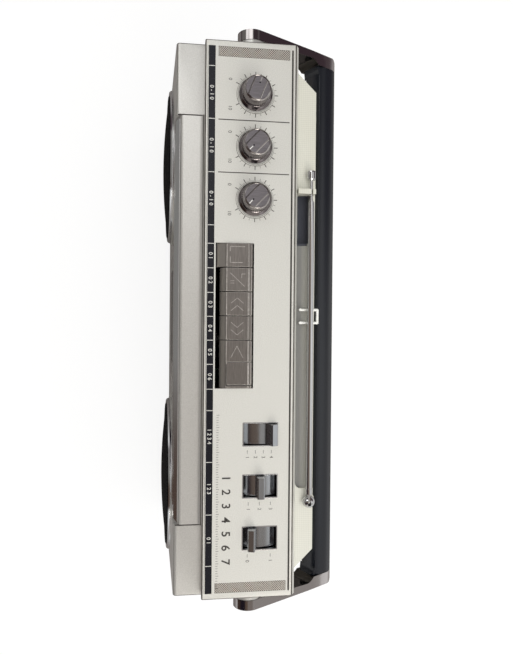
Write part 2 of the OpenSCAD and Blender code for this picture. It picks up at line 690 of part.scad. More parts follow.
// Pointer blade that rides on the scale, and its red needle
module dial_pointer() color("#c03a2a") on_face() translate([pointer_x, -dial_mid_s, scale_n + fit]) {
  block([-0.6, 1 - window_h / 2, 0], [0.6, window_h / 2 - 1, 1.2]);
  block([-5, window_h / 2 - 4, 0], [5, window_h / 2 - 1, 0.8]);
}

// Tuning drive: side knob on its spindle, cord drum and geared capacitor
module at_tuning() at_deck() translate([0, tuning_y, -tuning_d]) children();

module tuning_knob() color(dark_chrome) at_tuning() {
  rotate([0, 90, 0]) translate([0, 0, end_x + seat]) rotate_extrude() polygon([[0, 0], [tuning_r - 1, 0],
    [tuning_r, 0.8], [tuning_r, tuning_h - 2], [tuning_r - 1.6, tuning_h - 0.6],
    [tuning_r - 5, tuning_h - 0.6], [tuning_r - 6, tuning_h - 1.4], [0, tuning_h - 1.4]]);
  bar(drum_x - 14, end_x + seat + eps, spindle_r);
  bar(drum_x + 10, drum_x + 13, cord_r);
}

module dial_drum() color(cream) at_tuning() difference() {
  union() {
    bar(drum_x, drum_x + 1.4, dial_drum_r);
    bar(drum_x + 1.4 - eps, drum_x + 4.6, dial_drum_r - 2);
    bar(drum_x + 4.6 - eps, drum_x + 6, dial_drum_r);
  }
  bar(drum_x - 1, drum_x + 8, spindle_r + run);
  for (a = [0:90:270]) rotate([a, 0, 0]) translate([0, 11, 0]) bar(drum_x - 1, drum_x + 8, 4);
}

module tuning_capacitor() color(steel) at_tuning() difference() {
  union() {
    block([drum_x - 16, -14, -14], [drum_x - fit, 14, 14]);
    block([drum_x - 16, 14 - eps, -14], [drum_x - 14.4, deck_d - wall - fit - tuning_y, -10]);
    block([drum_x - 16, 14 - eps, 10], [drum_x - 14.4, deck_d - wall - fit - tuning_y, 14]);
  }
  bar(drum_x - 17, drum_x, spindle_r + run);
}

// Cassette door with its rails, lower hinge barrel and window
module door_rails() for (side = [0, 1]) mirror([side, 0, 0]) {
  block([cassette_w / 2, -cassette_s - cassette_h, pocket_n - pocket_t],
    [cassette_w / 2 + pocket_t, -cassette_s, door_n - door_t + eps]);
  block([cassette_w / 2 - 5, -cassette_s - cassette_h, pocket_n - pocket_t],
    [cassette_w / 2 + eps, -cassette_s, pocket_n]);
}

module cassette_door() color(silver) on_face() translate([tape_x, 0, 0]) {
  difference() {
    union() {
      translate([0, -door_s - door_h / 2 + hinge_r / 2, door_n - door_t]) linear_extrude(door_t)
        polygon(rounded(door_w, door_h - hinge_r, door_corner_r, 2));
      translate([0, -hinge_s, hinge_n]) bar(-door_w / 2, door_w / 2, hinge_r);
      translate([0, -hinge_s, hinge_n])
        bar(-door_w / 2 - hinge_pin_l, door_w / 2 + hinge_pin_l, hinge_pin_r);
      door_rails();
      block([-cassette_w / 2 - pocket_t, -cassette_s - cassette_h - pocket_t, pocket_n + 4],
        [cassette_w / 2 + pocket_t, -cassette_s - cassette_h + eps, door_n - door_t + eps]);
    }
    translate([0, -cassette_s - cassette_h / 2 - 1, door_n - door_t - 1]) linear_extrude(door_t + 2)
      polygon(rounded(pane_w, pane_h, 2, 3));
    translate([0, -cassette_s - cassette_h / 2 - 1, door_n - 1.2]) linear_extrude(door_t + 2)
      polygon(rounded(pane_w + 4, pane_h + 4, 3, 3));
  }
}

pane_w = 84;
pane_h = 40;
module door_window() color([0.35, 0.38, 0.4, 0.6]) on_face()
  translate([tape_x, -cassette_s - cassette_h / 2 - 1, door_n - 1.2]) linear_extrude(1.2)
    polygon(rounded(pane_w + 4, pane_h + 4, 3, 3));

// Tape chassis: steel plate with guide pins and cheeks that carry the key rod
cheek_t = 1.6;
cheek_x = [key_x0 - 3, key_x0 + 6 * key_pitch + 3 - cheek_t];
function plate_y(z) = face_y(z, -chassis_n + chassis_t);

module tape_chassis() color(steel) {
  on_face() difference() {
    union() {
      translate([tape_x, 0, chassis_n - chassis_t]) block([-61.5, -hinge_s + 4, 0], [61.5, -36, chassis_t]);
      for (dx = guide_dx) translate([tape_x + dx, -guide_s, chassis_n - eps]) cylinder(r = 1.5, h = 2.6);
    }
    for (dx = [-reel_dx, reel_dx]) translate([tape_x + dx, -reel_s, chassis_n - 5])
      cylinder(r = reel_pin_r + run, h = 9);
    translate([tape_x + reel_dx, -capstan_s, chassis_n - 5]) cylinder(r = capstan_r + run, h = 9);
  }
  at_deck() difference() {
    for (x = cheek_x) slab(x, x + cheek_t, [[plate_y(-90), -90], [plate_y(-36) - eps, -36],
      [10, -22], [rod_y - 5, -deck_t - fit], [rod_y + 6, -deck_t - fit], [rod_y + 6, -24], [24, -60]]);
    translate([0, rod_y, rod_z]) bar(key_x0 - 5, key_x0 + 6 * key_pitch + 5, rod_r);
  }
}

guide_s = roller_s - 2;
guide_dx = [-15, 8];

// Head plate: slides down on the guide pins, with its record and erase heads
head_n = chassis_n + fit;
module head_plate() color(steel) on_face() translate([tape_x, 0, 0]) difference() {
  union() {
    block([-34, -roller_s - 5, head_n], [34, -guide_s + head_travel + 6, head_n + 1.2]);
    block([-6, -roller_s - 6, head_n], [6, -roller_s + 4, head_n + 14]);
    block([-25, -roller_s - 5, head_n], [-17, -roller_s + 4, head_n + 13]);
    translate([reel_dx, -roller_s, head_n]) cylinder(r = 1.2, h = 14);
  }
  for (dx = guide_dx) translate([dx, -guide_s + head_travel / 2, head_n - 1]) linear_extrude(4)
    polygon(rounded(3.2, head_travel + 4, 1.6, 4));
}

module pinch_roller() color(ink) on_face() translate([tape_x + reel_dx, -roller_s, head_n + 3])
  difference() {
    cylinder(r = roller_r, h = 9);
    translate([0, 0, -1]) cylinder(r = 1.2 + run, h = 11);
  }

module reel_spindle(dx) color(cream) on_face() translate([tape_x + dx, -reel_s, 0]) {
  translate([0, 0, chassis_n - chassis_t - 2]) cylinder(r = reel_pin_r, h = 16);
  translate([0, 0, chassis_n + fit]) cylinder(r = 10, h = 2);
  translate([0, 0, chassis_n - chassis_t - 2.6]) cylinder(r = 5, h = 2.6 - fit);
  for (a = [0:60:300]) rotate([0, 0, a])
    translate([0, -0.6, chassis_n + 4]) cube([4.6, 1.2, 8]);
}

module supply_spindle() reel_spindle(-reel_dx);
module take_up_spindle() reel_spindle(reel_dx);

module flywheel() color(steel) on_face() translate([tape_x + reel_dx, -capstan_s, 0]) {
  translate([0, 0, flywheel_n - flywheel_t]) cylinder(r = capstan_r, h = flywheel_t - flywheel_n + chassis_n + 14);
  translate([0, 0, flywheel_n - flywheel_t]) rotate_extrude() polygon([[0, 0], [flywheel_r + 1, 0],
    [flywheel_r + 1, 3.2], [flywheel_r, 3.4], [flywheel_r, 7], [flywheel_r + 1, 7.2],
    [flywheel_r + 1, flywheel_t], [flywheel_r - 6, flywheel_t], [flywheel_r - 8, 5], [8, 5],
    [6, flywheel_t + 1], [0, flywheel_t + 1]]);
  translate([0, 0, chassis_n - chassis_t - fit - 4]) cylinder(r = 3, h = 4);
}

module motor_frame() on_face() translate([motor_x, -motor_s, chassis_n - chassis_t]) children();

module tape_motor() color(steel) motor_frame() {
  difference() {
    translate([0, 0, -motor_l]) cylinder(r = motor_r, h = motor_l);
    translate([0, 0, -motor_l - 1]) cylinder(r = 1 + run, h = 12);
    translate([0, 0, -motor_l + 4]) difference() {
      cylinder(r = motor_r + 1, h = 2);
      cylinder(r = motor_r - 0.6, h = 2);
    }
  }
}

pulley_n = flywheel_n - flywheel_t + 3 - chassis_n + chassis_t;
module motor_pulley() color("#b08a4a") motor_frame() translate([0, 0, pulley_n]) {
  rotate_extrude() polygon([[0, 0], [pulley_r + 0.8, 0], [pulley_r, 0.5], [pulley_r, belt_w + 1.1],
    [pulley_r + 0.8, belt_w + 1.6], [0, belt_w + 1.6]]);
  cylinder(r = 1, h = -motor_l - pulley_n + 8);
}

// Flat drive belt round the pulley and the flywheel
module belt_loop(grow, h) hull() {
  translate([motor_x, -motor_s, 0]) cylinder(r = pulley_r + fit + grow, h = h, $fn = 32);
  translate([tape_x + reel_dx, -capstan_s, 0]) cylinder(r = flywheel_r + fit + grow, h = h, $fn = 60);
}

module drive_belt() color(ink) on_face() translate([0, 0, flywheel_n - flywheel_t + 3.8]) difference() {
  belt_loop(belt_t, belt_w);
  translate([0, 0, -1]) belt_loop(0, belt_w + 2);
}

// Main board on its posts, with what stands on it
board_z = base_z + 10;
board_lo = [-108, -24];
board_hi = [108, 48];
module at_board_posts() for (x = [board_lo[0] + 13, board_hi[0] - 13], y = [board_lo[1] + 14, board_hi[1] - 8])
  translate([x, y, 0]) children();

module main_board() at_deck() {
  color(board_green) difference() {
    block([board_lo[0], board_lo[1], board_z], [board_hi[0], board_hi[1], board_z + 1.6]);
    at_board_posts() translate([0, 0, board_z - 1]) cylinder(r = 1.6, h = 4);
  }
  color(ink) for (i = [0:4]) translate([-80 + 18 * i, 28, board_z + 1.6]) cylinder(r = 5 + (i % 2), h = 14);
  color(steel) block([36, -4, board_z + 1.6], [60, 34, board_z + 26]);
  color(ink) for (i = [0:2]) block([-84 + 30 * i, -8, board_z + 1.6], [-64 + 30 * i, -1, board_z + 5]);
}

module power_transformer() at_deck() translate([inner_x - 55.6, rear_y - 48.4, inner_base]) {
  color(steel) difference() {
    block([-24, -17, 0], [24, 17, 40]);
    block([-16, -18, 7], [16, 18, 33]);
  }
  color("#b5793a") block([-16 + eps, -15, 7], [16 - eps, 15, 33]);
}

// Battery box let into the rear cover, with its contacts and lid
module battery_box() color(cream) at_deck() difference() {
  block([bay_x - bay_l / 2 - bay_wall, rear_y - frame_t - bay_d, bay_z - bay_h / 2 - bay_wall],
    [bay_x + bay_l / 2 + bay_wall, rear_y - frame_t, bay_z + bay_h / 2 + bay_wall]);
  block([bay_x - bay_l / 2, rear_y - frame_t - bay_d + bay_wall, bay_z - bay_h / 2],
    [bay_x + bay_l / 2, rear_y, bay_z + bay_h / 2]);
}

module battery_contacts() color(chrome) at_deck()
  for (side = [-1, 1], row = [-1, 1])
    translate([bay_x + side * (bay_l / 2 - 0.5), rear_y - frame_t - bay_d / 2, bay_z + row * bay_h / 4]) {
      cube([1, 20, 20], center = true);
      mirror([side > 0 ? 1 : 0, 0, 0]) rotate([0, 90, 0]) cylinder(r1 = 8, r2 = 4, h = 5);
    }

module battery_door() color(cream) at_deck() difference() {
  union() {
    block([bay_x - lid_x, rear_y - lid_t, lid_axis_z], [bay_x + lid_x, rear_y, lid_top_z]);
    translate([0, rear_y - lid_t / 2, lid_axis_z]) bar(bay_x - lid_x, bay_x + lid_x, lid_t / 2);
    translate([0, rear_y - lid_t / 2, lid_axis_z]) bar(bay_x - lid_x - 2.6, bay_x + lid_x + 2.6, lid_pin_r);
  }
  for (i = [0:5]) block([bay_x - 15, rear_y - 0.8, lid_top_z - 8 - 2.4 * i],
    [bay_x + 15, rear_y + 1, lid_top_z - 6.8 - 2.4 * i]);
}

lid_x = bay_l / 2 + lid_rim - fit;
lid_top_z = bay_z + bay_h / 2 + lid_rim - fit;

// Socket panel: three jacks and the mains inlet in the rear cover
module socket_panel() color(ink) at_deck() translate([panel_x, rear_y - wall, panel_z]) difference() {
  union() {
    block([-panel_w / 2, -1.6, -panel_h / 2], [panel_w / 2, 0, panel_h / 2]);
    block([-panel_w / 2 + 2 + fit, -eps, -panel_h / 2 + 2 + fit],
      [panel_w / 2 - 2 - fit, wall - 1, panel_h / 2 - 2 - fit]);
    for (i = [0:2]) translate([-24 + i * jack_pitch, 0, 0]) rotate([90, 0, 0]) cylinder(r = 5, h = 16);
    block([10, -18, -8], [30, 0, 8]);
  }
  for (i = [0:2]) translate([-24 + i * jack_pitch, wall, 0]) rotate([90, 0, 0]) cylinder(r = jack_r, h = 16);
  block([12.5, -14, -5], [27.5, wall, 5]);
}

// Ferrite rod with its coil, on holders that stand on the battery box
ferrite_z = bay_z + bay_h / 2 + bay_wall + 9;
module ferrite_antenna() at_deck() translate([bay_x, rear_y - frame_t - 20, ferrite_z]) {
  color("#3b3a39") bar(-80, 80, 5);
  color("#b5793a") difference() {
    bar(-50, -5, 6.5);
    bar(-51, -4, 5);
  }
  color(cream) for (x = [-72, 66]) difference() {
    block([x, -7, -9], [x + 6, 7, 3]);
    bar(x - 1, x + 7, 5);
  }
}

module feet() color(ink) at_deck() both_ends() for (y = [-12, deck_d - 16])
  translate([end_x - 26, y, base_z - foot_h]) rotate_extrude() polygon([[0, 0.6], [foot_r - 3, 0.6],
    [foot_r - 2.4, 0], [foot_r - 0.6, 0], [foot_r, 0.6], [foot_r + 0.4, foot_h], [0, foot_h]]);

module case_screws() color(steel) at_deck() both_ends() for (z = screw_z)
  translate([post_x, deck_d, z]) rotate([90, 0, 0]) difference() {
    union() {
      translate([0, 0, -0.6]) cylinder(r = 3.2, h = 1.8);
      cylinder(r = 1.5, h = 15);
    }
    for (a = [0, 90]) rotate([0, 0, a]) translate([0, 0, -0.6]) cube([4, 0.8, 1.6], center = true);
  }

// Handle: steel pivots, bright arms that curve into a black grip
module handle_pivots() color(chrome) at_deck() translate([0, pivot_y, -pivot_d]) both_ends() {
  bar(inner_x - 7, arm_out - 2, pin_r);
  bar(inner_x - 7, inner_x - 3, pin_r + 3);
  bar(arm_out - 1.7, arm_out - fit, 8);
  bar(arm_out - 2, arm_out - 1.7 + eps, pin_r);
}

arm_taper = 2;
corner_r = 3.5;
inner_r = 11;
arm_bend_x = arm_out - grip_end;
curve_x = arm_in + arm_taper - inner_r;
bend_a = acos((arm_bend_x - curve_x) / inner_r);
flare_h = inner_r * (1 - sin(bend_a));
bumper_r = 2.2;
bumper_h = 1.2;
bumper_in = 29.5;

function arm_plan() = concat([[arm_out, -arm_r - 1]],
  arc(arm_out - corner_r, grip_out - corner_r, corner_r, 0, 90, 8),
  [[arm_bend_x, grip_out]], arc(curve_x, grip_in - inner_r, inner_r, bend_a, 0, 8),
  [[arm_in, 12], [arm_in, -arm_r - 1]]);

function arm_side() = concat(arc(0, 0, arm_r, 90, 270, 24),
  [[grip_in - 9, -arm_r], [grip_out - 5.3, -11.2], [grip_out, -8.5], [grip_out, 8.5],
  [grip_out - 5.3, 11.2], [grip_in - 9, arm_r]]);

module handle_arms() color(chrome) at_pivot() both_ends() difference() {
  intersection() {
    translate([0, 0, -20]) linear_extrude(40) polygon(arm_plan());
    slab(arm_bend_x - 1, arm_out + 1, arm_side());
  }
  bar(arm_in - 10, arm_out + 1, pin_r + run);
  bar(arm_out - 2, arm_out + 1, 8 + fit);
}

grip_section = [[grip_in, -6], [grip_in + grip_edge_u, -grip_edge_w], [grip_in + 5.3, -11],
  [grip_out - 5.3, -11.2], [grip_out, -8.5], [grip_out, 8.5], [grip_out - 5.3, 11.2],
  [grip_in + 5.3, 11], [grip_in + grip_edge_u, grip_edge_w], [grip_in, 6]];

module handle_grip() color(grip_black) at_pivot() {
  slab(-arm_bend_x, arm_bend_x, grip_section);
  both_ends() intersection() {
    translate([0, -flare_h, 0]) slab(curve_x - 1, arm_bend_x, grip_section);
    translate([0, 0, -20]) linear_extrude(40) polygon(concat(
      arc(curve_x, grip_in - inner_r, inner_r, bend_a, 90, 6),
      [[curve_x - 0.5, grip_in + 1], [arm_bend_x, grip_in + 1]]));
  }
  both_ends() translate([arm_bend_x - bumper_in, grip_in - bumper_h, -5]) rotate([-90, 0, 0])
    cylinder(r = bumper_r, h = bumper_h + 2);
}

// Antenna: swivelling ball, flat tongue and four telescoping sections
module at_antenna() at_deck() translate([0, antenna_y, antenna_z]) children();

module antenna_base() color(chrome) at_antenna() translate([ball_x, 0, 0]) {
  difference() {
    union() {
      sphere(r = ball_r);
      translate([0, 0, -antenna_up + fit]) cylinder(r = post_r + 1.2, h = 2);
      translate([0, 0, -antenna_up - 9]) cylinder(r = post_r, h = 9.5);
    }
    block([-ball_r - 1, -1.3, -2.7], [2.7, 1.3, ball_r + 1]);
  }
  translate([0, 1.5, 0]) rotate([90, 0, 0]) cylinder(r = 0.8, h = 3);
}

module antenna_tube() color(chrome) at_antenna() {
  difference() {
    union() {
      block([root_x + 2, -1.2, -2.2], [ball_x, 1.2, 2.2]);
      translate([ball_x, 1.2, 0]) rotate([90, 0, 0]) cylinder(r = 2.4, h = 2.4);
    }
    translate([ball_x, 2, 0]) rotate([90, 0, 0]) cylinder(r = 0.8 + run, h = 4);
  }
  bar(root_x, root_x + 4.6, tube_r + 0.3);
  difference() {
    bar(tip_x, root_x + eps, tube_r);
    bar(tip_x - 1, root_x - 5, tube_r - tube_t);
  }
}

module antenna_section(r, inner, x0, x1) color(chrome) at_antenna() difference() {
  bar(x0, x1, r);
  if (inner > 0) bar(x0 - 1, x1 - 3, inner);
}

module antenna_second() antenna_section(second_r, second_r - tube_t, tip_x - 1, root_x - 6);
module antenna_third() antenna_section(third_r, third_r - tube_t, tip_x - 2, root_x - 10);

module antenna_tip() {
  antenna_section(rod_tip_r - 0.1, 0, tip_x - 18, root_x - 14);
  color(chrome) at_antenna() translate([tip_x - 26, 0, 0]) rotate([0, 90, 0]) rotate_extrude()
    polygon([[0, 0], [2.6, 0], [3.3, 0.5], [3.5, 1.4], [3.5, 6.8], [3, 7.6], [1.2, 8.2], [0, 8.2]]);
}

// Wire cradle under the rod: two legs with raised tips and a closed rear end
cradle_x = (root_x + tip_x) / 2 - 24.3;
cradle_dx = 5.4;
wire_r = 1.1;
cradle_z = cover_z - groove_h + wire_r;
cradle_y0 = deck_d + 3.6;
cradle_y1 = rear_y + 2.6;

module antenna_cradle() color("white") at_deck() translate([cradle_x, 0, cradle_z]) {
  for (side = [-1, 1]) translate([side * cradle_dx, 0, 0]) {
    translate([0, cradle_y0, 0]) rotate([-90, 0, 0]) cylinder(r = wire_r, h = cradle_y1 - cradle_y0);
    translate([0, cradle_y0, 0]) cylinder(r = wire_r, h = 4);
    translate([0, cradle_y0, 0]) sphere(r = wire_r);
    translate([0, cradle_y1, 0]) sphere(r = wire_r);
  }
  translate([0, cradle_y1, 0]) bar(-cradle_dx, cradle_dx, wire_r);
}

// Snap clip that holds the folded antenna at its thin end
clip_x = tip_x - 8.5;
module antenna_clip() color(cream) at_deck() difference() {
  block([clip_x - 2.1, deck_d + fit, cover_z], [clip_x + 2.1, rear_y - 1.2, 0.3]);
  translate([0, antenna_y, antenna_z]) bar(clip_x - 3, clip_x + 3, rod_tip_r + 0.2);
  block([clip_x - 3, antenna_y - 0.7, antenna_z], [clip_x + 3, antenna_y + 0.7, 1]);
}

front_cabinet();
rear_cabinet();
deck_plate();
label_strip();
switch_bezels();
potentiometers();
switch_frames();
key_rod();
speaker_rings();
speaker_grilles();
speaker_drivers();
dial_scale();
dial_window();
dial_trim();
tape_chassis();
tape_motor();
drive_belt();
main_board();
power_transformer();
battery_box();
battery_contacts();
socket_panel();
ferrite_antenna();
tuning_capacitor();
feet();
case_screws();
handle_pivots();
antenna_cradle();
antenna_clip();
handle_arms();
handle_grip();
volume_knob();
bass_knob();
treble_knob();
pause_key();
stop_key();
forward_key();
rewind_key();
play_key();
record_key();
function_lever();
band_lever();
power_lever();
tuning_knob();
dial_drum();
dial_pointer();
cassette_door();
door_window();
supply_spindle();
take_up_spindle();
flywheel();
pinch_roller();
head_plate();
motor_pulley();
battery_door();
antenna_base();
antenna_tube();
antenna_second();
antenna_third();
antenna_tip();
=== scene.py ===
# Portable radio cassette player with a raised control deck, two domed
# speakers, a folding carrying handle and a telescopic antenna. One section
# for each piece or group of like pieces, in the order of their assembly.
import json
import math

import bmesh
import bpy
from mathutils import Matrix, Vector

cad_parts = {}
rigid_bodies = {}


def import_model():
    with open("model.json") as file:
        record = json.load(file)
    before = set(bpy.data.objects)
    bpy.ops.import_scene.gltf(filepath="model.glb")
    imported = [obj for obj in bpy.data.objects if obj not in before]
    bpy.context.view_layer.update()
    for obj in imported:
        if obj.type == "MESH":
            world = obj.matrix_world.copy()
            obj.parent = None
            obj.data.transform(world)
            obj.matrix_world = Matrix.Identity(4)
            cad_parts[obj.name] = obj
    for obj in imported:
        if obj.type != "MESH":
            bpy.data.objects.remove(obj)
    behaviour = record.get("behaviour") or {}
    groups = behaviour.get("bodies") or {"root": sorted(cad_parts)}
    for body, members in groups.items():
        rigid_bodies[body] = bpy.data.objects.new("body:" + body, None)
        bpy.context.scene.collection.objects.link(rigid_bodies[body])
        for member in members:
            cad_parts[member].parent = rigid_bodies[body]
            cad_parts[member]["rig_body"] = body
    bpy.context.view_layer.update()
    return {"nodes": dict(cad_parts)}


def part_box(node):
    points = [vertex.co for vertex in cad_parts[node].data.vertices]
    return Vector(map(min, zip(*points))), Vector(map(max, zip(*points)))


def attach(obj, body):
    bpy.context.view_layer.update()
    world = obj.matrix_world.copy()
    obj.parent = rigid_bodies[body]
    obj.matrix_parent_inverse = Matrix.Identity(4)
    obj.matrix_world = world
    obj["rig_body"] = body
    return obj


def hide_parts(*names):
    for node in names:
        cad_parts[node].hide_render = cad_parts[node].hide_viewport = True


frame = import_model()

# Front cabinet: one ABS moulding with two end blocks, a set-back middle and
# raised speaker pads. Sprayed silver with a fine metal flake and left satin.
MM = 0.001


def linear(code):
    """An sRGB hex colour as linear RGBA."""
    parts = [int(code[i : i + 2], 16) / 255 for i in (0, 2, 4)]
    return [c / 12.92 if c <= 0.04045 else ((c + 0.055) / 1.055) ** 2.4 for c in parts] + [1]


def add(tree, kind, inputs=None, stops=(), **settings):
    """A shader node with its settings, its inputs, and a ramp's stops."""
    node = kind if isinstance(kind, bpy.types.Node) else tree.nodes.new(kind)
    for name, value in settings.items():
        setattr(node, name, value)
    for socket, value in (inputs or {}).items():
        if isinstance(value, bpy.types.Node):
            value = next(output for output in value.outputs if output.enabled)
        if isinstance(value, bpy.types.NodeSocket):
            tree.links.new(value, node.inputs[socket])
        else:
            node.inputs[socket].default_value = value
    for i, (place, code) in enumerate(stops):
        elements = node.color_ramp.elements
        element = elements[0] if i == 0 else elements[-1] if i == 1 else elements.new(place)
        element.position = place
        element.color = linear(code)
    return node


def surface(name, code, metallic, roughness, **sockets):
    """A new material, its node tree, its shader and the object's coordinates."""
    material = bpy.data.materials.new(name)
    material.use_nodes = True
    tree = material.node_tree
    fixed = {"Base Color": linear(code), "Metallic": metallic, "Roughness": roughness}
    fixed.update({socket.replace("_", " "): value for socket, value in sockets.items()})
    shader = add(tree, tree.nodes["Principled BSDF"], fixed)
    return material, tree, shader, add(tree, "ShaderNodeTexCoord").outputs["Object"]


def softened(node, material, edge, segments=2, angle=30, rim=None, where=None):
    """A merged copy of a CAD node with rounded edges, shown in the node's place.

    The rim material goes on the rounded edges, and on the faces that where() picks
    by their centre in mm and their normal.
    """
    same_point, flat = 0.002 * MM, math.radians(0.3)
    source = frame["nodes"][node]
    shape = bmesh.new()
    shape.from_mesh(source.data)
    bmesh.ops.remove_doubles(shape, verts=shape.verts, dist=same_point)
    bmesh.ops.dissolve_limit(shape, angle_limit=flat, verts=shape.verts, edges=shape.edges)
    if rim and where:
        # the top corners of both end planes take a wider round of their own
        end_plane, crown, round_over = 225 * MM, 215 * MM, 0.8 * MM
        ends = [e for e in shape.edges if e.is_manifold and e.calc_face_angle(0) > 1
                and all(abs(abs(v.co.x) - end_plane) < MM and v.co.z > crown for v in e.verts)]
        bmesh.ops.bevel(shape, geom=ends, offset=round_over, segments=3, profile=0.5,
                        affect="EDGES", material=1)
    for face in shape.faces:
        face.smooth = True
        if where and where(face.calc_center_median() / MM, face.normal):
            face.material_index = 1
    for line in shape.edges:
        line.smooth = line.is_manifold and line.calc_face_angle(0) < math.radians(angle)
    mesh = bpy.data.meshes.new(node + "_finished")
    shape.to_mesh(mesh)
    shape.free()
    mesh.materials.append(material)
    if rim:
        mesh.materials.append(rim)
    copy = bpy.data.objects.new(node + "_finished", mesh)
    bpy.context.scene.collection.objects.link(copy)
    bevel = copy.modifiers.new("round_over", "BEVEL")
    bevel.width = edge * MM
    bevel.segments = segments
    bevel.limit_method = "ANGLE"
    bevel.angle_limit = math.radians(angle)
    bevel.harden_normals = True
    bevel.material = 1 if rim else -1
    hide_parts(node)
    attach(copy, source["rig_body"])
    return copy


# Sprayed lacquer over moulded ABS: a soft grey sheen with a sparkle of flake
lacquer, tree, shader, place = surface("silver_lacquered_abs", "cdccc7", 0.6, 0.36)
flake = add(tree, "ShaderNodeTexNoise", {"Vector": place, "Scale": 1 / (0.6 * MM), "Detail": 4})
tint = add(tree, "ShaderNodeValToRGB", {"Fac": flake}, stops=[(0.3, "c3c2bd"), (0.7, "d5d4d0")])
relief = add(tree, "ShaderNodeBump", {"Height": flake, "Distance": 0.03 * MM, "Strength": 0.4})
add(tree, shader, {"Base Color": tint, "Normal": relief})

# Painted shade: every sharp edge is painted as a fine dark line, standing in for
# the shade and dark reflections that edges catch, lighter in places at random
edges, tree, shader, place = surface("painted_shade_edge_line", "57534f", 0.5, 0.35)
patchiness = add(tree, "ShaderNodeTexNoise", {"Vector": place, "Scale": 1 / (14 * MM), "Detail": 4})
tint = add(tree, "ShaderNodeValToRGB", {"Fac": patchiness}, stops=[(0.35, "4b4744"), (0.75, "77726c")])
add(tree, shader, {"Base Color": tint})
# The slope that runs along the ledge's front is painted dark the same way, a
# painted dark reflection
softened("front_cabinet", lacquer, 0.5, rim=edges,
         where=lambda at, facing: at.z > 228 and facing.y < -0.5 and 0.45 < facing.z < 0.75)

# Rear cabinet: a tub moulded in cream ABS, with a fine dotted grain on a 1.6 mm
# pitch. Its bevelled ends, antenna channel and vents are of the same moulding.
# The real grain is finer; it is drawn as coarse as it needs to show.
grain_pitch = 1.6 * MM
cream, tree, shader, place = surface("grained_cream_abs", "d4d3c8", 0, 0.5)
turns = add(tree, "ShaderNodeVectorMath", {0: place, 1: [2 * math.pi / grain_pitch] * 3},
            operation="MULTIPLY")
waves = add(tree, "ShaderNodeVectorMath", {0: turns}, operation="SINE")
dots = add(tree, "ShaderNodeVectorMath", {0: waves, 1: (1, 1, 1)}, operation="DOT_PRODUCT")
pits = add(tree, "ShaderNodeMapRange", {"Value": dots.outputs["Value"], "From Min": -1.5,
           "From Max": 1.5})
ageing = add(tree, "ShaderNodeTexNoise", {"Vector": place, "Scale": 1 / (90 * MM), "Detail": 2})
base = add(tree, "ShaderNodeValToRGB", {"Fac": ageing}, stops=[(0.35, "d3d2c5"), (0.65, "d9d8ce")])
pores = add(tree, "ShaderNodeMapRange", {"Value": pits, "To Min": 0.25, "To Max": 0})
# Inputs 0, 6 and 7 of a Mix node are its share and the two colours
tint = add(tree, "ShaderNodeMix", {0: pores, 6: base, 7: linear("a3a297")}, data_type="RGBA")
relief = add(tree, "ShaderNodeBump", {"Height": pits, "Distance": 0.08 * MM, "Strength": 0.6})
# Painted shade: the antenna's trough is painted darker beside the deck, where the
# deck's shadow falls, and the finger well is painted dark where shade fills it:
# middle and half length in X, the Y where the painted shade is deepest and where
# it ends, top in Z, all in mm, and its colour
painted_shade_zones = ((16.5, 122.4, 37, 46.4, 231.4, "7d7c79"), (-84.5, 21.4, 44, 48, 230.6, "3f414a"))
half_depth = 15
parts = add(tree, "ShaderNodeSeparateXYZ", {"Vector": place})
for middle, half, near, far, top, dulling in painted_shade_zones:
    along = add(tree, "ShaderNodeMath", {0: parts.outputs["X"], 1: middle * MM}, operation="SUBTRACT")
    away = add(tree, "ShaderNodeMath", {0: along}, operation="ABSOLUTE")
    inside = add(tree, "ShaderNodeMath", {0: away, 1: half * MM}, operation="LESS_THAN")
    below = add(tree, "ShaderNodeMath", {0: parts.outputs["Z"], 1: (top - half_depth) * MM,
                2: half_depth * MM}, operation="COMPARE")
    shade_falloff = add(tree, "ShaderNodeMapRange", {"Value": parts.outputs["Y"], "From Min": near * MM,
                  "From Max": far * MM, "To Min": 1, "To Max": 0})
    both = add(tree, "ShaderNodeMath", {0: inside, 1: below}, operation="MULTIPLY")
    share = add(tree, "ShaderNodeMath", {0: both, 1: shade_falloff}, operation="MULTIPLY")
    tint = add(tree, "ShaderNodeMix", {0: share, 6: tint, 7: linear(dulling)}, data_type="RGBA")
add(tree, shader, {"Base Color": tint, "Normal": relief})
softened("rear_cabinet", cream, 0.35)
softened("battery_door", cream, 0.25)

# Feet, drive belt and pinch roller: black rubber, moulded and matt, with a
# grey bloom where it has been handled and stood on.
rubber, tree, shader, place = surface("moulded_black_rubber", "262626", 0, 0.75)
bloom = add(tree, "ShaderNodeTexNoise", {"Vector": place, "Scale": 1 / (3 * MM), "Detail": 4})
tint = add(tree, "ShaderNodeValToRGB", {"Fac": bloom}, stops=[(0.4, "1e1e1f"), (0.7, "303030")])
add(tree, shader, {"Base Color": tint})


def dress(material, *nodes):
    """CAD nodes whose shape is right take a better material."""
    for node in nodes:
        frame["nodes"][node].data.materials[0] = material


dress(rubber, "feet", "drive_belt", "pinch_roller")

# Steel parts inside: frames, chassis, cans and screws, pressed or turned and
# zinc plated, which leaves a grey sheen with faint yellow clouds.
zinc, tree, shader, place = surface("zinc_plated_steel", "a9abac", 1, 0.36)
cloud = add(tree, "ShaderNodeTexNoise", {"Vector": place, "Scale": 1 / (8 * MM), "Detail": 5})
tint = add(tree, "ShaderNodeValToRGB", {"Fac": cloud}, stops=[(0.35, "a2a4a8"), (0.7, "b4b0a4")])
wear = add(tree, "ShaderNodeMapRange", {"Value": cloud, "To Min": 0.28, "To Max": 0.46})
add(tree, shader, {"Base Color": tint, "Roughness": wear})
dress(zinc, "case_screws", "potentiometers", "switch_frames", "key_rod", "tape_chassis",
      "tape_motor", "head_plate", "flywheel", "tuning_capacitor", "power_transformer")

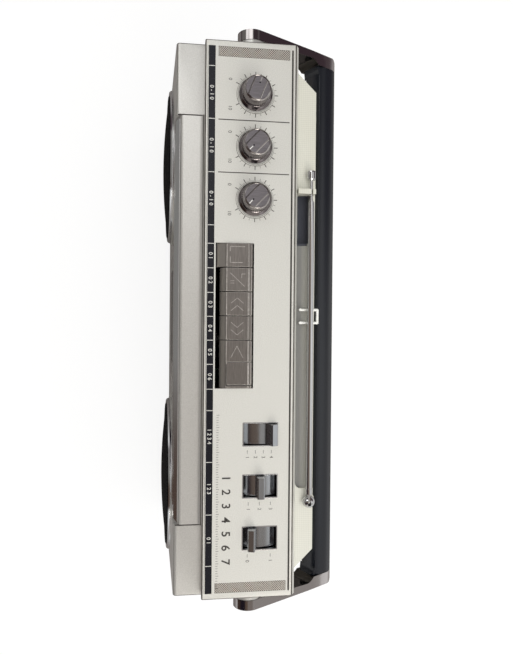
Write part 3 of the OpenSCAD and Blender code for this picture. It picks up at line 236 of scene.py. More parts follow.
# Speaker drivers: pressed baskets with black paper cones behind the grilles.
# The paper is pulp pressed on a form, dull and faintly fibrous.
paper, tree, shader, place = surface("pressed_paper_cone", "1b1b1c", 0, 0.9)
fibre = add(tree, "ShaderNodeTexNoise", {"Vector": place, "Scale": 1 / (1.5 * MM), "Detail": 6})
tint = add(tree, "ShaderNodeValToRGB", {"Fac": fibre}, stops=[(0.3, "141415"), (0.8, "29282a")])
add(tree, shader, {"Base Color": tint})
dress(paper, "speaker_drivers")

# Speaker grilles: perforated steel sheet, pressed to a dome and lacquered
# black. The holes are 2 mm across on a 3 mm staggered pitch.
mesh_black, tree, shader, place = surface("lacquered_perforated_steel", "131315", 0, 0.6,
                                          Specular_IOR_Level=0.04)
pitch = 3 * MM
grids = []
for shift in ((0, 0, 0), (0.5, 0, 0.5)):
    cells = add(tree, "ShaderNodeMapping", {"Vector": place, "Location": shift,
                "Scale": (1 / pitch, 0, 1 / (pitch * math.sqrt(3)))})
    corner = add(tree, "ShaderNodeVectorMath", {0: cells}, operation="FRACTION")
    offset = add(tree, "ShaderNodeVectorMath", {0: corner, 1: (0.5, 0, 0.5)}, operation="SUBTRACT")
    true = add(tree, "ShaderNodeVectorMath", {0: offset, 1: (1, 0, math.sqrt(3))}, operation="MULTIPLY")
    grids.append(add(tree, "ShaderNodeVectorMath", {0: true}, operation="LENGTH").outputs["Value"])
nearest = add(tree, "ShaderNodeMath", {0: grids[0], 1: grids[1]}, operation="MINIMUM")
solid = add(tree, "ShaderNodeMapRange", {"Value": nearest, "From Min": 0.30, "From Max": 0.36})
tint = add(tree, "ShaderNodeValToRGB", {"Fac": solid}, stops=[(0.1, "020203"), (0.9, "18181b")])
relief = add(tree, "ShaderNodeBump", {"Height": solid, "Distance": 0.5 * MM, "Strength": 0.8})
rough = add(tree, "ShaderNodeMapRange", {"Value": solid, "To Min": 1, "To Max": 0.55})
add(tree, shader, {"Base Color": tint, "Normal": relief, "Roughness": rough})
dress(mesh_black, "speaker_grilles")

# Bright trim: speaker rings, dial trim, lever bezels, pivots and antenna,
# polished and chromium plated, with hairline polishing marks.
chrome, tree, shader, place = surface("polished_chromium_plate", "d4d5d6", 1, 0.08)
hairs = add(tree, "ShaderNodeTexNoise", {"Vector": place, "Scale": 1 / (12 * MM), "Detail": 6})
rough = add(tree, "ShaderNodeMapRange", {"Value": hairs, "To Min": 0.05, "To Max": 0.14})
add(tree, shader, {"Roughness": rough})
dress(chrome, "speaker_rings", "dial_trim", "handle_pivots", "antenna_base", "antenna_tube",
      "antenna_second", "antenna_third", "antenna_tip", "battery_contacts")
softened("switch_bezels", chrome, 0.12)

# Deck plate: champagne-silver lacquer over a shallow tray, satin, with a
# very fine even grain that breaks up its reflections.
deck = Vector((0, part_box("deck_plate")[0].y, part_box("label_strip")[1].z))
on_deck = Matrix.Translation(deck) @ Matrix.Scale(MM, 4)
satin, tree, shader, place = surface("champagne_satin_lacquer", "d8d6cf", 0.3, 0.42)
grain = add(tree, "ShaderNodeTexNoise", {"Vector": place, "Scale": 1 / (0.8 * MM), "Detail": 3})
tint = add(tree, "ShaderNodeValToRGB", {"Fac": grain}, stops=[(0.3, "cdccc5"), (0.7, "dad9d3")])
relief = add(tree, "ShaderNodeBump", {"Height": grain, "Distance": 0.02 * MM, "Strength": 0.5})
add(tree, shader, {"Base Color": tint, "Normal": relief})
# The slope along its front is painted dark the same way, a painted dark reflection
softened("deck_plate", satin, 0.45, rim=edges,
         where=lambda at, facing: at.z > 238 and facing.y < -0.2 and 0.2 < facing.z < 0.99)

# Label strip: gloss black film let into the deck's front, with silver foil
# lines that part it into fields. Fine dust breaks up the film's gloss.
film, tree, shader, place = surface("gloss_black_film", "15161c", 0, 0.24, Specular_IOR_Level=0.3)
dulling = add(tree, "ShaderNodeTexNoise", {"Vector": place, "Scale": 1 / (1.2 * MM), "Detail": 5})
rough = add(tree, "ShaderNodeMapRange", {"Value": dulling, "To Min": 0.16, "To Max": 0.34})
add(tree, shader, {"Roughness": rough})
dress(film, "label_strip", "socket_panel")


def bar(shape, start, end, width, low, high):
    """A flat bar between two points, in mm, added to a mesh."""
    start, end = Vector(start), Vector(end)
    run = end - start
    stretch = Matrix.Diagonal((run.length, width, high - low, 1))
    turn = Matrix.Rotation(math.atan2(run.y, run.x), 4, "Z")
    middle = Matrix.Translation(((start.x + end.x) / 2, (start.y + end.y) / 2, (low + high) / 2))
    bmesh.ops.create_cube(shape, size=1, matrix=middle @ turn @ stretch)


def piece(name, shape, frame_of, material, body, nodes=(), angle=30):
    """A finished piece from a mesh in mm, placed, dressed and riding on a body."""
    shape.transform(frame_of)
    bmesh.ops.recalc_face_normals(shape, faces=shape.faces)
    for face in shape.faces:
        face.smooth = True
    for line in shape.edges:
        line.smooth = line.is_manifold and line.calc_face_angle(0) < math.radians(angle)
    mesh = bpy.data.meshes.new(name)
    shape.to_mesh(mesh)
    shape.free()
    mesh.materials.append(material)
    made = bpy.data.objects.new(name, mesh)
    bpy.context.scene.collection.objects.link(made)
    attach(made, body)
    if nodes:
        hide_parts(*nodes)
    return made


# Hot stamped foil: bright, but thin in places, where it looks greyer
foil, tree, shader, place = surface("silver_hot_foil", "d9d9d4", 0.4, 0.35)
dimming = add(tree, "ShaderNodeTexNoise", {"Vector": place, "Scale": 1 / (1.5 * MM), "Detail": 3})
tint = add(tree, "ShaderNodeValToRGB", {"Fac": dimming}, stops=[(0.3, "c4c3be"), (0.6, "e2e2dd")])
add(tree, shader, {"Base Color": tint})
field_ends = (-203.9, -161.8, -119.2, -76.8, -62, -42.4, -22.7, -3.5, 15.6, 35, 55, 72.2, 113.9,
              156.3, 197.7)
strip_front, strip_back = 2.9, 8
lines = bmesh.new()
for x in field_ends:
    bar(lines, (x, strip_front), (x, strip_back), 0.55, -0.02, 0.05)
piece("strip_lines", lines, on_deck, foil, "cabinet")

# Deck printing: knob scales and lever marks, screen printed in dark ink whose
# cover is a little uneven, and dark ink bars in the dividing grooves that are
# painted shade. Plain numbers stand on every scale, and a long rule and a large
# row of them beside the levers.
ink_and_painted_shade, tree, shader, place = surface("screen_printed_ink_and_painted_shade", "2c2826", 0, 0.5)
screen = add(tree, "ShaderNodeTexNoise", {"Vector": place, "Scale": 1 / (0.5 * MM), "Detail": 2})
tint = add(tree, "ShaderNodeValToRGB", {"Fac": screen}, stops=[(0.35, "24201f"), (0.75, "4a4541")])
add(tree, shader, {"Base Color": tint})

# The finest ticks let the lacquer through, so they look grey
fine, tree, shader, place = surface("thin_screen_printed_ink", "6f6962", 0, 0.5)
screen = add(tree, "ShaderNodeTexNoise", {"Vector": place, "Scale": 1 / (0.5 * MM), "Detail": 2})
tint = add(tree, "ShaderNodeValToRGB", {"Fac": screen}, stops=[(0.35, "625c56"), (0.75, "8a837b")])
add(tree, shader, {"Base Color": tint})


def middle_of(node):
    """The middle of a CAD node, in mm on the deck."""
    low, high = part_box(node)
    return ((low + high) / 2 - deck) / MM


knobs = ("volume_knob", "bass_knob", "treble_knob")
levers = ("function_lever", "band_lever", "power_lever")
knobs_x = [middle_of(node).x for node in knobs]
knobs_y = middle_of(knobs[0]).y
levers_x = [middle_of(node).x for node in levers]

# Ticks round the knobs: inner and outer radius and width. Ticks at the levers:
# where they start and end to the right of the lever's middle, and width, in mm
main_tick, fine_tick, tick_turn = (15.2, 18.3, 0.6), (15.6, 17.5, 0.32), 15
number_size, number_aside, number_down, number_z = 4, 11.5, 20.6, 0.02
lever_stops = ((36.3, 42.9, 49.4, 56), (37.4, 46.5, 55.6), (36.9, 55.8))
stop_start, stop_end, stop_width, stop_number = 12.8, 15.6, 0.32, 18.6
flush = (-0.01, 0.04)


def numeral(shape, digits, size, x, y, z, weight=0.0):
    """Plain printed numbers, in mm, centred on a point of a mesh's plane."""
    text = bpy.data.curves.new("numeral", "FONT")
    text.body = digits
    text.size = size
    text.offset = weight
    text.align_x = "CENTER"
    text.align_y = "CENTER"
    text.extrude = 0.02
    holder = bpy.data.objects.new("numeral", text)
    bpy.context.scene.collection.objects.link(holder)
    mesh = bpy.data.meshes.new_from_object(holder.evaluated_get(bpy.context.evaluated_depsgraph_get()))
    mesh.transform(Matrix.Translation((x, y, z)))
    shape.from_mesh(mesh)
    bpy.data.objects.remove(holder)
    bpy.data.curves.remove(text)
    bpy.data.meshes.remove(mesh)


print_and_painted_shade = bmesh.new()
faint = bmesh.new()
for x in knobs_x:
    here = Vector((x, knobs_y))
    for step in range(2, 23):
        angle = math.radians(tick_turn * step - 90)
        ahead = Vector((math.cos(angle), math.sin(angle)))
        inner, outer, width = fine_tick if step % 2 else main_tick
        bar(faint if step % 2 else print_and_painted_shade, here + ahead * inner, here + ahead * outer, width, *flush)
    for side, digits in ((-1, "0"), (1, "10")):
        numeral(print_and_painted_shade, digits, number_size, x + side * number_aside, knobs_y - number_down, number_z)
for node, x, stops in zip(levers, levers_x, lever_stops):
    first = 0 if node == "power_lever" else 1
    for k, y in enumerate(stops):
        bar(print_and_painted_shade, (x + stop_start, y), (x + stop_end, y), stop_width, *flush)
        numeral(print_and_painted_shade, str(first + k), number_size, x + stop_number, y, number_z)

# Painted shade: dark bars laid in the grooves between the knobs, behind the
# controls and in the ledge's two joints, where shade falls; and a printed line
# before the strip
knob_grooves_x, groove_front, groove_back = (-161.5, -119.3), 11.1, 68.4
long_groove_y, long_groove_end, strip_edge_y, strip_edge_end = 71, 219.9, 2.1, 220
joints_x, joint_front, joint_back = (-166.5, 166.5), -21.5, -0.7
for x in knob_grooves_x:
    bar(print_and_painted_shade, (x, groove_front), (x, groove_back), 0.5, -0.29, -0.1)
bar(print_and_painted_shade, (-long_groove_end, long_groove_y), (long_groove_end, long_groove_y), 0.9, -0.59, -0.3)
bar(print_and_painted_shade, (-strip_edge_end, strip_edge_y), (strip_edge_end, strip_edge_y), 0.3, -0.01, 0.03)
for x in joints_x:
    bar(print_and_painted_shade, (x, joint_front), (x, joint_back), 0.8, -9.19, -8.5)
piece("deck_print_and_painted_shade", print_and_painted_shade, on_deck, ink_and_painted_shade, "cabinet")
piece("deck_fine_marks", faint, on_deck, fine, "cabinet")
rule_start, rule_pitch, rule_y, short_end, long_end = 76, 2, 11.2, 12.9, 13.6
row_start, row_pitch, row_y, row_size, row_weight = 127, 11.3, 19, 9.6, 0.16
rule = bmesh.new()
for step in range(71):
    x = rule_start + rule_pitch * step
    bar(rule, (x, rule_y), (x, short_end if step % 5 else long_end), 0.3, *flush)
for step in range(7):
    numeral(rule, str(step + 1), row_size, row_start + row_pitch * step, row_y, number_z, row_weight)
piece("deck_rule", rule, on_deck, ink_and_painted_shade, "cabinet")
field_numbers = ((-182.6, "0 - 1 0"), (-140.4, "0 - 1 0"), (-98.2, "0 - 1 0"), (-52.2, "0 1"),
                 (-32.6, "0 2"), (-13.1, "0 3"), (6, "0 4"), (25.3, "0 5"), (45, "0 6"),
                 (93, "1 2 3 4"), (135.1, "1 2 3"), (177, "0 1"))
field_y, field_size, field_weight = 5.4, 4.4, 0.06
fields = bmesh.new()
for x, digits in field_numbers:
    numeral(fields, digits, field_size, x, field_y, number_z, field_weight)
piece("strip_numbers", fields, on_deck, foil, "cabinet")

# End hatches: etched foil laid in the recess at each end of the deck, with a
# crossed 45 degree hatch on a 1.25 mm pitch, light ribs round dark squares.
hatch_pitch = 1.25 * MM
etched, tree, shader, place = surface("etched_hatched_foil", "a5a099", 0.5, 0.4)
slant = add(tree, "ShaderNodeMapping", {"Vector": place, "Rotation": (0, 0, math.radians(45)),
            "Scale": (1 / hatch_pitch, 1 / hatch_pitch, 0)})
cell = add(tree, "ShaderNodeVectorMath", {0: slant}, operation="FRACTION")
edge = add(tree, "ShaderNodeVectorMath", {0: cell, 1: (0.5, 0.5, 0)}, operation="SUBTRACT")
depth = add(tree, "ShaderNodeVectorMath", {0: edge}, operation="ABSOLUTE")
parts = add(tree, "ShaderNodeSeparateXYZ", {"Vector": depth})
pit = add(tree, "ShaderNodeMath", {0: parts.outputs["X"], 1: parts.outputs["Y"]}, operation="MAXIMUM")
rib = add(tree, "ShaderNodeMapRange", {"Value": pit, "From Min": 0.3, "From Max": 0.38})
tint = add(tree, "ShaderNodeValToRGB", {"Fac": rib}, stops=[(0, "3f3a36"), (1, "d8d2c8")])
relief = add(tree, "ShaderNodeBump", {"Height": rib, "Distance": 0.2 * MM, "Strength": 0.6})
add(tree, shader, {"Base Color": tint, "Normal": relief})
plate_x, plate_front, plate_back, plate_width = 215.9, 10.9, 68.4, 7.6
plates = bmesh.new()
for side in (-1, 1):
    bar(plates, (side * plate_x, plate_front), (side * plate_x, plate_back), plate_width, -0.38, -0.12)
piece("end_hatches", plates, on_deck, etched, "cabinet")

# Rotary knobs: turned aluminium, blackened and polished on the flange, with
# a knurled grip, a bright rim and a brushed cap that has a raised middle band.


def turned(outline, steps):
    """A solid turned about Z from the (radius, height) points of its outline."""
    shape = bmesh.new()
    points = [shape.verts.new((radius, 0, height)) for radius, height in outline]
    lines = [shape.edges.new(pair) for pair in zip(points, points[1:])]
    bmesh.ops.spin(shape, geom=points + lines, cent=(0, 0, 0), axis=(0, 0, 1),
                   angle=2 * math.pi, steps=steps, use_merge=True)
    bmesh.ops.remove_doubles(shape, verts=shape.verts, dist=0.001)
    return shape


# The body's dark polish mirrors the room in bands, a little duller in places
dark_chrome, tree, shader, place = surface("smoked_turned_aluminium", "857f80", 1, 0.18)
turning = add(tree, "ShaderNodeTexNoise", {"Vector": place, "Scale": 1 / (6 * MM), "Detail": 5})
rough = add(tree, "ShaderNodeMapRange", {"Value": turning, "To Min": 0.08, "To Max": 0.17})
add(tree, shader, {"Roughness": rough})

# The diamond cut left the rim bare and bright
rim_metal, tree, shader, place = surface("diamond_cut_aluminium_rim", "b9b5b3", 1, 0.14)
cut = add(tree, "ShaderNodeTexNoise", {"Vector": place, "Scale": 1 / (4 * MM), "Detail": 4})
rough = add(tree, "ShaderNodeMapRange", {"Value": cut, "To Min": 0.1, "To Max": 0.22})
add(tree, shader, {"Roughness": rough})

# Brushing across the cap shows as fine light and dark streaks
cap_metal, tree, shader, place = surface("brushed_grey_aluminium", "8a8689", 1, 0.34)
streak = add(tree, "ShaderNodeMapping", {"Vector": place, "Scale": (1 / (0.35 * MM), 1 / (9 * MM), 1)})
brushing = add(tree, "ShaderNodeTexNoise", {"Vector": streak, "Scale": 1, "Detail": 3})
tint = add(tree, "ShaderNodeValToRGB", {"Fac": brushing}, stops=[(0.3, "7f7b7e"), (0.7, "979397")])
relief = add(tree, "ShaderNodeBump", {"Height": brushing, "Distance": 0.03 * MM, "Strength": 0.5})
add(tree, shader, {"Base Color": tint, "Normal": relief})

# The pointer lines are filled with a chalky white; the first knob's is worn bare
white_paint, tree, shader, place = surface("white_filling_paint", "ecebe6", 0, 0.4)
chalk = add(tree, "ShaderNodeTexNoise", {"Vector": place, "Scale": 1 / (0.6 * MM), "Detail": 3})
tint = add(tree, "ShaderNodeValToRGB", {"Fac": chalk}, stops=[(0.3, "dddcd6"), (0.6, "f2f1ec")])
add(tree, shader, {"Base Color": tint})
# The same bare grey also paints a highlight line beside the cap's raised band
bare_metal_and_highlight, tree, shader, place = surface("bare_aluminium_and_painted_highlight", "a8a4a1", 0.3, 0.4)
cut = add(tree, "ShaderNodeTexNoise", {"Vector": place, "Scale": 1 / (2 * MM), "Detail": 3})
tint = add(tree, "ShaderNodeValToRGB", {"Fac": cut}, stops=[(0.3, "94908d"), (0.7, "b4b0ad")])
add(tree, shader, {"Base Color": tint})
knob_outline = [(0, -8), (3, -8), (3, 0.8), (13.1, 0.8), (13.5, 1.2), (13.5, 1.9), (13.2, 2.2),
                (11.6, 3.25), (11.45, 3.6), (11.4, 4.5), (11.1, 4.8), (10.7, 13.1), (10.3, 13.5),
                (10.3, 14.2), (0, 14.2)]
rim_outline = [(9.2, 14.1), (10.4, 14.1), (10.45, 14.4), (9.9, 15.2), (9.6, 15.35), (9.4, 15.2),
               (9.2, 14.1)]
# Flutes between ridges: pitch and half a ridge in degrees, depth, low and high end
knurl, half_ridge, knurl_depth, knurl_low, knurl_high = 7.5, 2, 0.3, 4.7, 13.2
cap_radius, cap_low, cap_rise, band_half, band_rise = 9.45, 14.1, 0.85, 5, 0.55
cap_top = cap_low + cap_rise
band_top = cap_top + band_rise
step_line_x, step_line_half, pointer_from, pointer_to, dot_y, dot_radius = 5.3, 7.5, 5.2, 8.8, 4.1, 0.62
at_rest = (68, -134, -134)


def raise_faces(shape, faces, height):
    """Faces of a mesh drawn up along Z."""
    drawn = bmesh.ops.extrude_face_region(shape, geom=faces)["geom"]
    corners = [part for part in drawn if isinstance(part, bmesh.types.BMVert)]
    bmesh.ops.translate(shape, vec=(0, 0, height), verts=corners)


for node, x, turn in zip(knobs, knobs_x, at_rest):
    stand = on_deck @ Matrix.Translation((x, knobs_y, 0)) @ Matrix.Rotation(math.radians(turn), 4, "Z")
    body = turned(knob_outline, 144)
    for vert in body.verts:
        around = math.degrees(math.atan2(vert.co.y, vert.co.x)) % knurl
        if knurl_low < vert.co.z < knurl_high and min(around, knurl - around) > half_ridge:
            vert.co.xy *= 1 - knurl_depth / vert.co.xy.length
    piece(node + "_body", body, stand, dark_chrome, node, [node], 40)
    piece(node + "_rim", turned(rim_outline, 96), stand, rim_metal, node)
    cap = bmesh.new()
    bmesh.ops.create_circle(cap, cap_ends=True, radius=cap_radius, segments=96,
                            matrix=Matrix.Translation((0, 0, cap_low)))
    raise_faces(cap, cap.faces[:], cap_rise)
    for side in (-1, 1):
        bmesh.ops.bisect_plane(cap, geom=cap.verts[:] + cap.edges[:] + cap.faces[:],
                               plane_co=(side * band_half, 0, 0), plane_no=(1, 0, 0))
    band = [f for f in cap.faces if f.calc_center_median().z > cap_top - 0.05
            and abs(f.calc_center_median().x) < band_half]
    raise_faces(cap, band, band_rise)
    bmesh.ops.delete(cap, geom=band, context="FACES_ONLY")
    steps = [e for e in cap.edges if e.calc_face_angle(0) > 1
             and min(v.co.z for v in e.verts) > cap_top + band_rise / 2]
    bmesh.ops.bevel(cap, geom=steps, offset=0.5, segments=1, profile=0.5, affect="EDGES", material=1)
    made = piece(node + "_cap", cap, stand, cap_metal, node)
    made.data.materials.append(rim_metal)
    # Painted highlight and painted shade: beside the band's two steps, a light line on the side the
    # light falls on and a dark line on the other, the sides set by the knob's turn
    for side, lay, paint in ((1, "_painted_highlight_line", bare_metal_and_highlight), (-1, "_painted_shade_line", ink_and_painted_shade)):
        line = bmesh.new()
        across = side * math.copysign(step_line_x, turn)
        bar(line, (across, -step_line_half), (across, step_line_half), 0.45, cap_top - 0.01, cap_top + 0.09)
        piece(node + lay, line, stand, paint, node)
    pointer = bmesh.new()
    bar(pointer, (0, pointer_from), (0, pointer_to), 0.6, band_top - 0.04, band_top + 0.06)
    filling = bare_metal_and_highlight if node == "volume_knob" else white_paint
    piece(node + "_pointer", pointer, stand, filling, node)
    dot_low, dot_high = band_top - 0.04, band_top + 0.04
    dot = turned([(0, dot_low), (dot_radius, dot_low), (dot_radius, dot_high), (0, dot_high)], 24)
    dot.transform(Matrix.Translation((0, dot_y, 0)))
    piece(node + "_dot", dot, stand, film, node)

# Tape keys: ABS caps, plated a dark bronze grey and finely brushed along the
# keys. Their transport signs are moulded as thin ribs on the flat.
bronze, tree, shader, place = surface("brushed_bronze_plated_abs", "8b8682", 0.9, 0.32)
streak = add(tree, "ShaderNodeMapping", {"Vector": place,
             "Scale": (1 / (8 * MM), 1 / (0.4 * MM), 1 / (0.4 * MM))})
brushing = add(tree, "ShaderNodeTexNoise", {"Vector": streak, "Scale": 1, "Detail": 3})
tint = add(tree, "ShaderNodeValToRGB", {"Fac": brushing}, stops=[(0.3, "807b77"), (0.7, "97928d")])
relief = add(tree, "ShaderNodeBump", {"Height": brushing, "Distance": 0.02 * MM, "Strength": 0.4})

# Painted highlight: the slope at the keys' front is painted a lighter grey, standing
# in for the light it reflects
along = add(tree, "ShaderNodeSeparateXYZ", {"Vector": place}).outputs["Y"]
start = deck.y + 18.2 * MM
lightening = add(tree, "ShaderNodeMapRange", {"Value": along, "From Min": start, "From Max": start - 1.5 * MM})
tint = add(tree, "ShaderNodeMix", {0: lightening, 6: tint, 7: linear("b9b4ae")}, data_type="RGBA")
add(tree, shader, {"Base Color": tint, "Normal": relief})

# The ribs are rubbed bright, less so in places; the keys' rounded edges and a line
# along the front of each flat take the same bright tone as a painted highlight
signs_and_highlight, tree, shader, place = surface("polished_key_sign_and_painted_highlight", "c8c3bd", 0.6, 0.3)
lightening = add(tree, "ShaderNodeTexNoise", {"Vector": place, "Scale": 1 / (2 * MM), "Detail": 4})
tint = add(tree, "ShaderNodeValToRGB", {"Fac": lightening}, stops=[(0.35, "b0aba5"), (0.65, "d0cbc5")])
add(tree, shader, {"Base Color": tint})
key_pitch, keys_middle, sign_y, key_top = 19.5, -4.1, 27, 2.2
front_line_y, half_key, shift = -8.5, 9.1, 0.35
strokes = {  # from (x, y) to (x, y), in mm from the middle of the key's flat
    "pause_key": [(-6.8, -6, -6.8, 6), (-6.8, -6, -3.1, -6), (1.4, -6, 6, -6), (6, -6, 6, 4)],
    "stop_key": [(-5.2, -5.8, 5.6, 5.8), (1.2, -5.6, 1.2, -2.6), (3, -5.6, 3, -2.6),
                 (-4.4, 3.4, -1.2, 3.4), (-4.4, 3.4, -4.4, 6.4)],
    "forward_key": [(-4.6, 0, -0.4, -5), (-4.6, 0, -0.4, 5), (1.4, 0, 5.6, -5), (1.4, 0, 5.6, 5)],
    "rewind_key": [(-0.4, 0, -4.6, -5), (-0.4, 0, -4.6, 5), (5.6, 0, 1.4, -5), (5.6, 0, 1.4, 5)],
    "play_key": [(-5, 0, 4.6, -5), (-5, 0, 4.6, 5)],
}
keys = ("pause_key", "stop_key", "forward_key", "rewind_key", "play_key", "record_key")
for i, node in enumerate(keys):
    softened(node, bronze, 0.35, 3, rim=signs_and_highlight)
    if node in strokes:
        sign = bmesh.new()
        for x0, y0, x1, y1 in strokes[node]:
            bar(sign, (x0, y0), (x1, y1), 0.4, -0.02, 0.1)
        # A painted highlight: a bright line along the front edge of the key's flat
        bar(sign, (shift - half_key, front_line_y), (shift + half_key, front_line_y), 0.4, -0.03, 0.03)
        middle = Matrix.Translation((keys_middle + key_pitch * (i - 2.5), sign_y, key_top))
        piece(node + "_sign", sign, on_deck @ middle, signs_and_highlight, node)

# Lever switches: drums moulded in dark ABS with ridged tabs, and chromium
# plated. Fingers have dulled the plating in places, so it reflects unevenly.
drum, tree, shader, place = surface("dark_plated_abs", "adb0b3", 1, 0.2)
band = add(tree, "ShaderNodeTexNoise", {"Vector": place, "Scale": 1 / (5 * MM), "Detail": 4})
rough = add(tree, "ShaderNodeMapRange", {"Value": band, "To Min": 0.14, "To Max": 0.28})
add(tree, shader, {"Roughness": rough})
for node in levers:
    softened(node, drum, 0.2)

# Tape transport, seen when the door is open: spindles and drum moulded in milky
# nylon, a brass pulley, and the steel plates that took their finish above.
nylon, tree, shader, place = surface("moulded_white_nylon", "dcd9cc", 0, 0.45, Subsurface_Weight=0.1)
mottle = add(tree, "ShaderNodeTexNoise", {"Vector": place, "Scale": 1 / (4 * MM), "Detail": 3})
tint = add(tree, "ShaderNodeValToRGB", {"Fac": mottle}, stops=[(0.3, "d6d3c4"), (0.7, "e3e0d5")])
add(tree, shader, {"Base Color": tint})
dress(nylon, "supply_spindle", "take_up_spindle", "dial_drum")

# Turned brass, tarnished a little browner in blots
brass, tree, shader, place = surface("turned_brass", "b08d4c", 1, 0.25)
tarnish = add(tree, "ShaderNodeTexNoise", {"Vector": place, "Scale": 1 / (3 * MM), "Detail": 4})
tint = add(tree, "ShaderNodeValToRGB", {"Fac": tarnish}, stops=[(0.3, "93733a"), (0.7, "bb9a5a")])
add(tree, shader, {"Base Color": tint})
dress(brass, "motor_pulley")

# Electronics: board with a green solder mask that its tracks show through as
# lighter lines, ferrite rod with its enamelled coil, and the cream battery box.
mask, tree, shader, place = surface("green_solder_mask", "2f5f43", 0, 0.3)
tracks = add(tree, "ShaderNodeTexBrick", {"Vector": place, "Scale": 1 / (14 * MM),
             "Color1": linear("2b5a3e"), "Color2": linear("376b4c"), "Mortar": linear("4d7f5c"),
             "Mortar Size": 0.05})
add(tree, shader, {"Base Color": tracks})
dress(mask, "main_board")

# Copper wire wound in bands 6.91 mm apart, which catch the light as low ribs; a
# wave texture repeats every pi / 10 at a scale of 1
band_pitch = 6.91 * MM
coil, tree, shader, place = surface("enamelled_copper_wire", "a5673a", 0.8, 0.3)
turns = add(tree, "ShaderNodeTexWave", {"Vector": place, "Scale": math.pi / 10 / band_pitch},
            bands_direction="X")
relief = add(tree, "ShaderNodeBump", {"Height": turns, "Distance": 0.2 * MM})
add(tree, shader, {"Normal": relief})
dress(coil, "ferrite_antenna")
dress(cream, "battery_box")

# Dial: a dark printed scale behind a clear acrylic window, with a red needle
# on a cord, a geared drum and a knob on the right-hand end.
front_ahead, front_lean, dial_y = 22.3 * MM, math.radians(87), -28.02
on_face = (Matrix.Translation((0, deck.y - front_ahead, deck.z))
           @ Matrix.Rotation(front_lean, 4, "X") @ Matrix.Scale(MM, 4))
scale_black, tree, shader, place = surface("printed_dial_card", "202328", 0, 0.55)
card = add(tree, "ShaderNodeTexNoise", {"Vector": place, "Scale": 1 / (0.6 * MM), "Detail": 3})
tint = add(tree, "ShaderNodeValToRGB", {"Fac": card}, stops=[(0.3, "1d2024"), (0.7, "24272c")])
add(tree, shader, {"Base Color": tint})
dress(scale_black, "dial_scale")

# The print has yellowed a little, unevenly along the card. Each waveband has its
# row: the height on the card in mm, and the numbers along it
dial_print, tree, shader, place = surface("cream_dial_print", "e8e4d2", 0, 0.5)
fade = add(tree, "ShaderNodeTexNoise", {"Vector": place, "Scale": 1 / (30 * MM), "Detail": 2})
tint = add(tree, "ShaderNodeValToRGB", {"Fac": fade}, stops=[(0.3, "ddd8c2"), (0.7, "eeebdc")])
add(tree, shader, {"Base Color": tint})
scales = bmesh.new()
rows = ((7.6, ("88", "90", "92", "94", "96", "98", "100", "102", "104", "106", "108")),
        (2.6, ("6", "7", "8", "9", "10", "12", "14", "16", "18")),
        (-2.6, ("2", "3", "4", "5", "6", "7")),
        (-7.6, ("53", "60", "70", "80", "100", "120", "140", "160")))
scale_span, line_half, line_down, line_width = 280, 146, 2, 0.25
card_z, on_card = -8.86, (-8.88, -8.84)
for y, numbers in rows:
    line_y = y - line_down
    bar(scales, (-line_half, line_y), (line_half, line_y), line_width, *on_card)
    step = scale_span / (len(numbers) - 1)
    for k, digits in enumerate(numbers):
        x = step * k - scale_span / 2
        numeral(scales, digits, 3.2, x, y + 0.6, card_z)
        for part in range(5 if k < len(numbers) - 1 else 0):
            tick = x + part * step / 5
            bar(scales, (tick, line_y), (tick, y - (1 if part == 0 else 1.4)), line_width, *on_card)
on_card_middle = on_face @ Matrix.Translation((0, dial_y, 0))
piece("dial_numbers", scales, on_card_middle, dial_print, "cabinet")

# The windows are cast acrylic, polished, with a haze of fine wiping marks; one
# is clear and the cassette door's is smoked
for name, colour, window in (("clear_acrylic", "f4f8f8", "dial_window"),
                             ("smoked_acrylic", "55585c", "door_window")):
    glass, tree, shader, place = surface(name, colour, 0, 0.03, IOR=1.49, Transmission_Weight=1)
    haze = add(tree, "ShaderNodeTexNoise", {"Vector": place, "Scale": 1 / (18 * MM), "Detail": 6})
    rough = add(tree, "ShaderNodeMapRange", {"Value": haze, "To Min": 0.01, "To Max": 0.06})
    add(tree, shader, {"Roughness": rough})
    dress(glass, window)

# The needle was dipped in red lacquer, which ran a little thicker in places
needle, tree, shader, place = surface("red_lacquered_needle", "c8321f", 0, 0.3)
dip = add(tree, "ShaderNodeTexNoise", {"Vector": place, "Scale": 1 / (5 * MM), "Detail": 3})
tint = add(tree, "ShaderNodeValToRGB", {"Fac": dip}, stops=[(0.3, "b92a18"), (0.7, "d23b26")])
add(tree, shader, {"Base Color": tint})
dress(needle, "dial_pointer")
dress(dark_chrome, "tuning_knob")

# Cassette door: a moulded frame faced with brushed aluminium foil, whose long
# fine streaks run from side to side.
brushed, tree, shader, place = surface("brushed_aluminium_foil", "c6c6c1", 0.8, 0.3)
streak = add(tree, "ShaderNodeMapping", {"Vector": place,
             "Scale": (1 / (20 * MM), 1 / (0.3 * MM), 1 / (0.3 * MM))})
brushing = add(tree, "ShaderNodeTexNoise", {"Vector": streak, "Scale": 1, "Detail": 3})
tint = add(tree, "ShaderNodeValToRGB", {"Fac": brushing}, stops=[(0.3, "bcbcb7"), (0.7, "d0d0cb")])
add(tree, shader, {"Base Color": tint})
softened("cassette_door", brushed, 0.3)

# Handle: chromium plated zinc arms, die cast and polished, and a grip of
# black ABS with a soft gloss.
plated, tree, shader, place = surface("chromium_plated_casting", "bab5b4", 1, 0.12)
ripple = add(tree, "ShaderNodeTexNoise", {"Vector": place, "Scale": 1 / (25 * MM), "Detail": 4})
rough = add(tree, "ShaderNodeMapRange", {"Value": ripple, "To Min": 0.06, "To Max": 0.16})

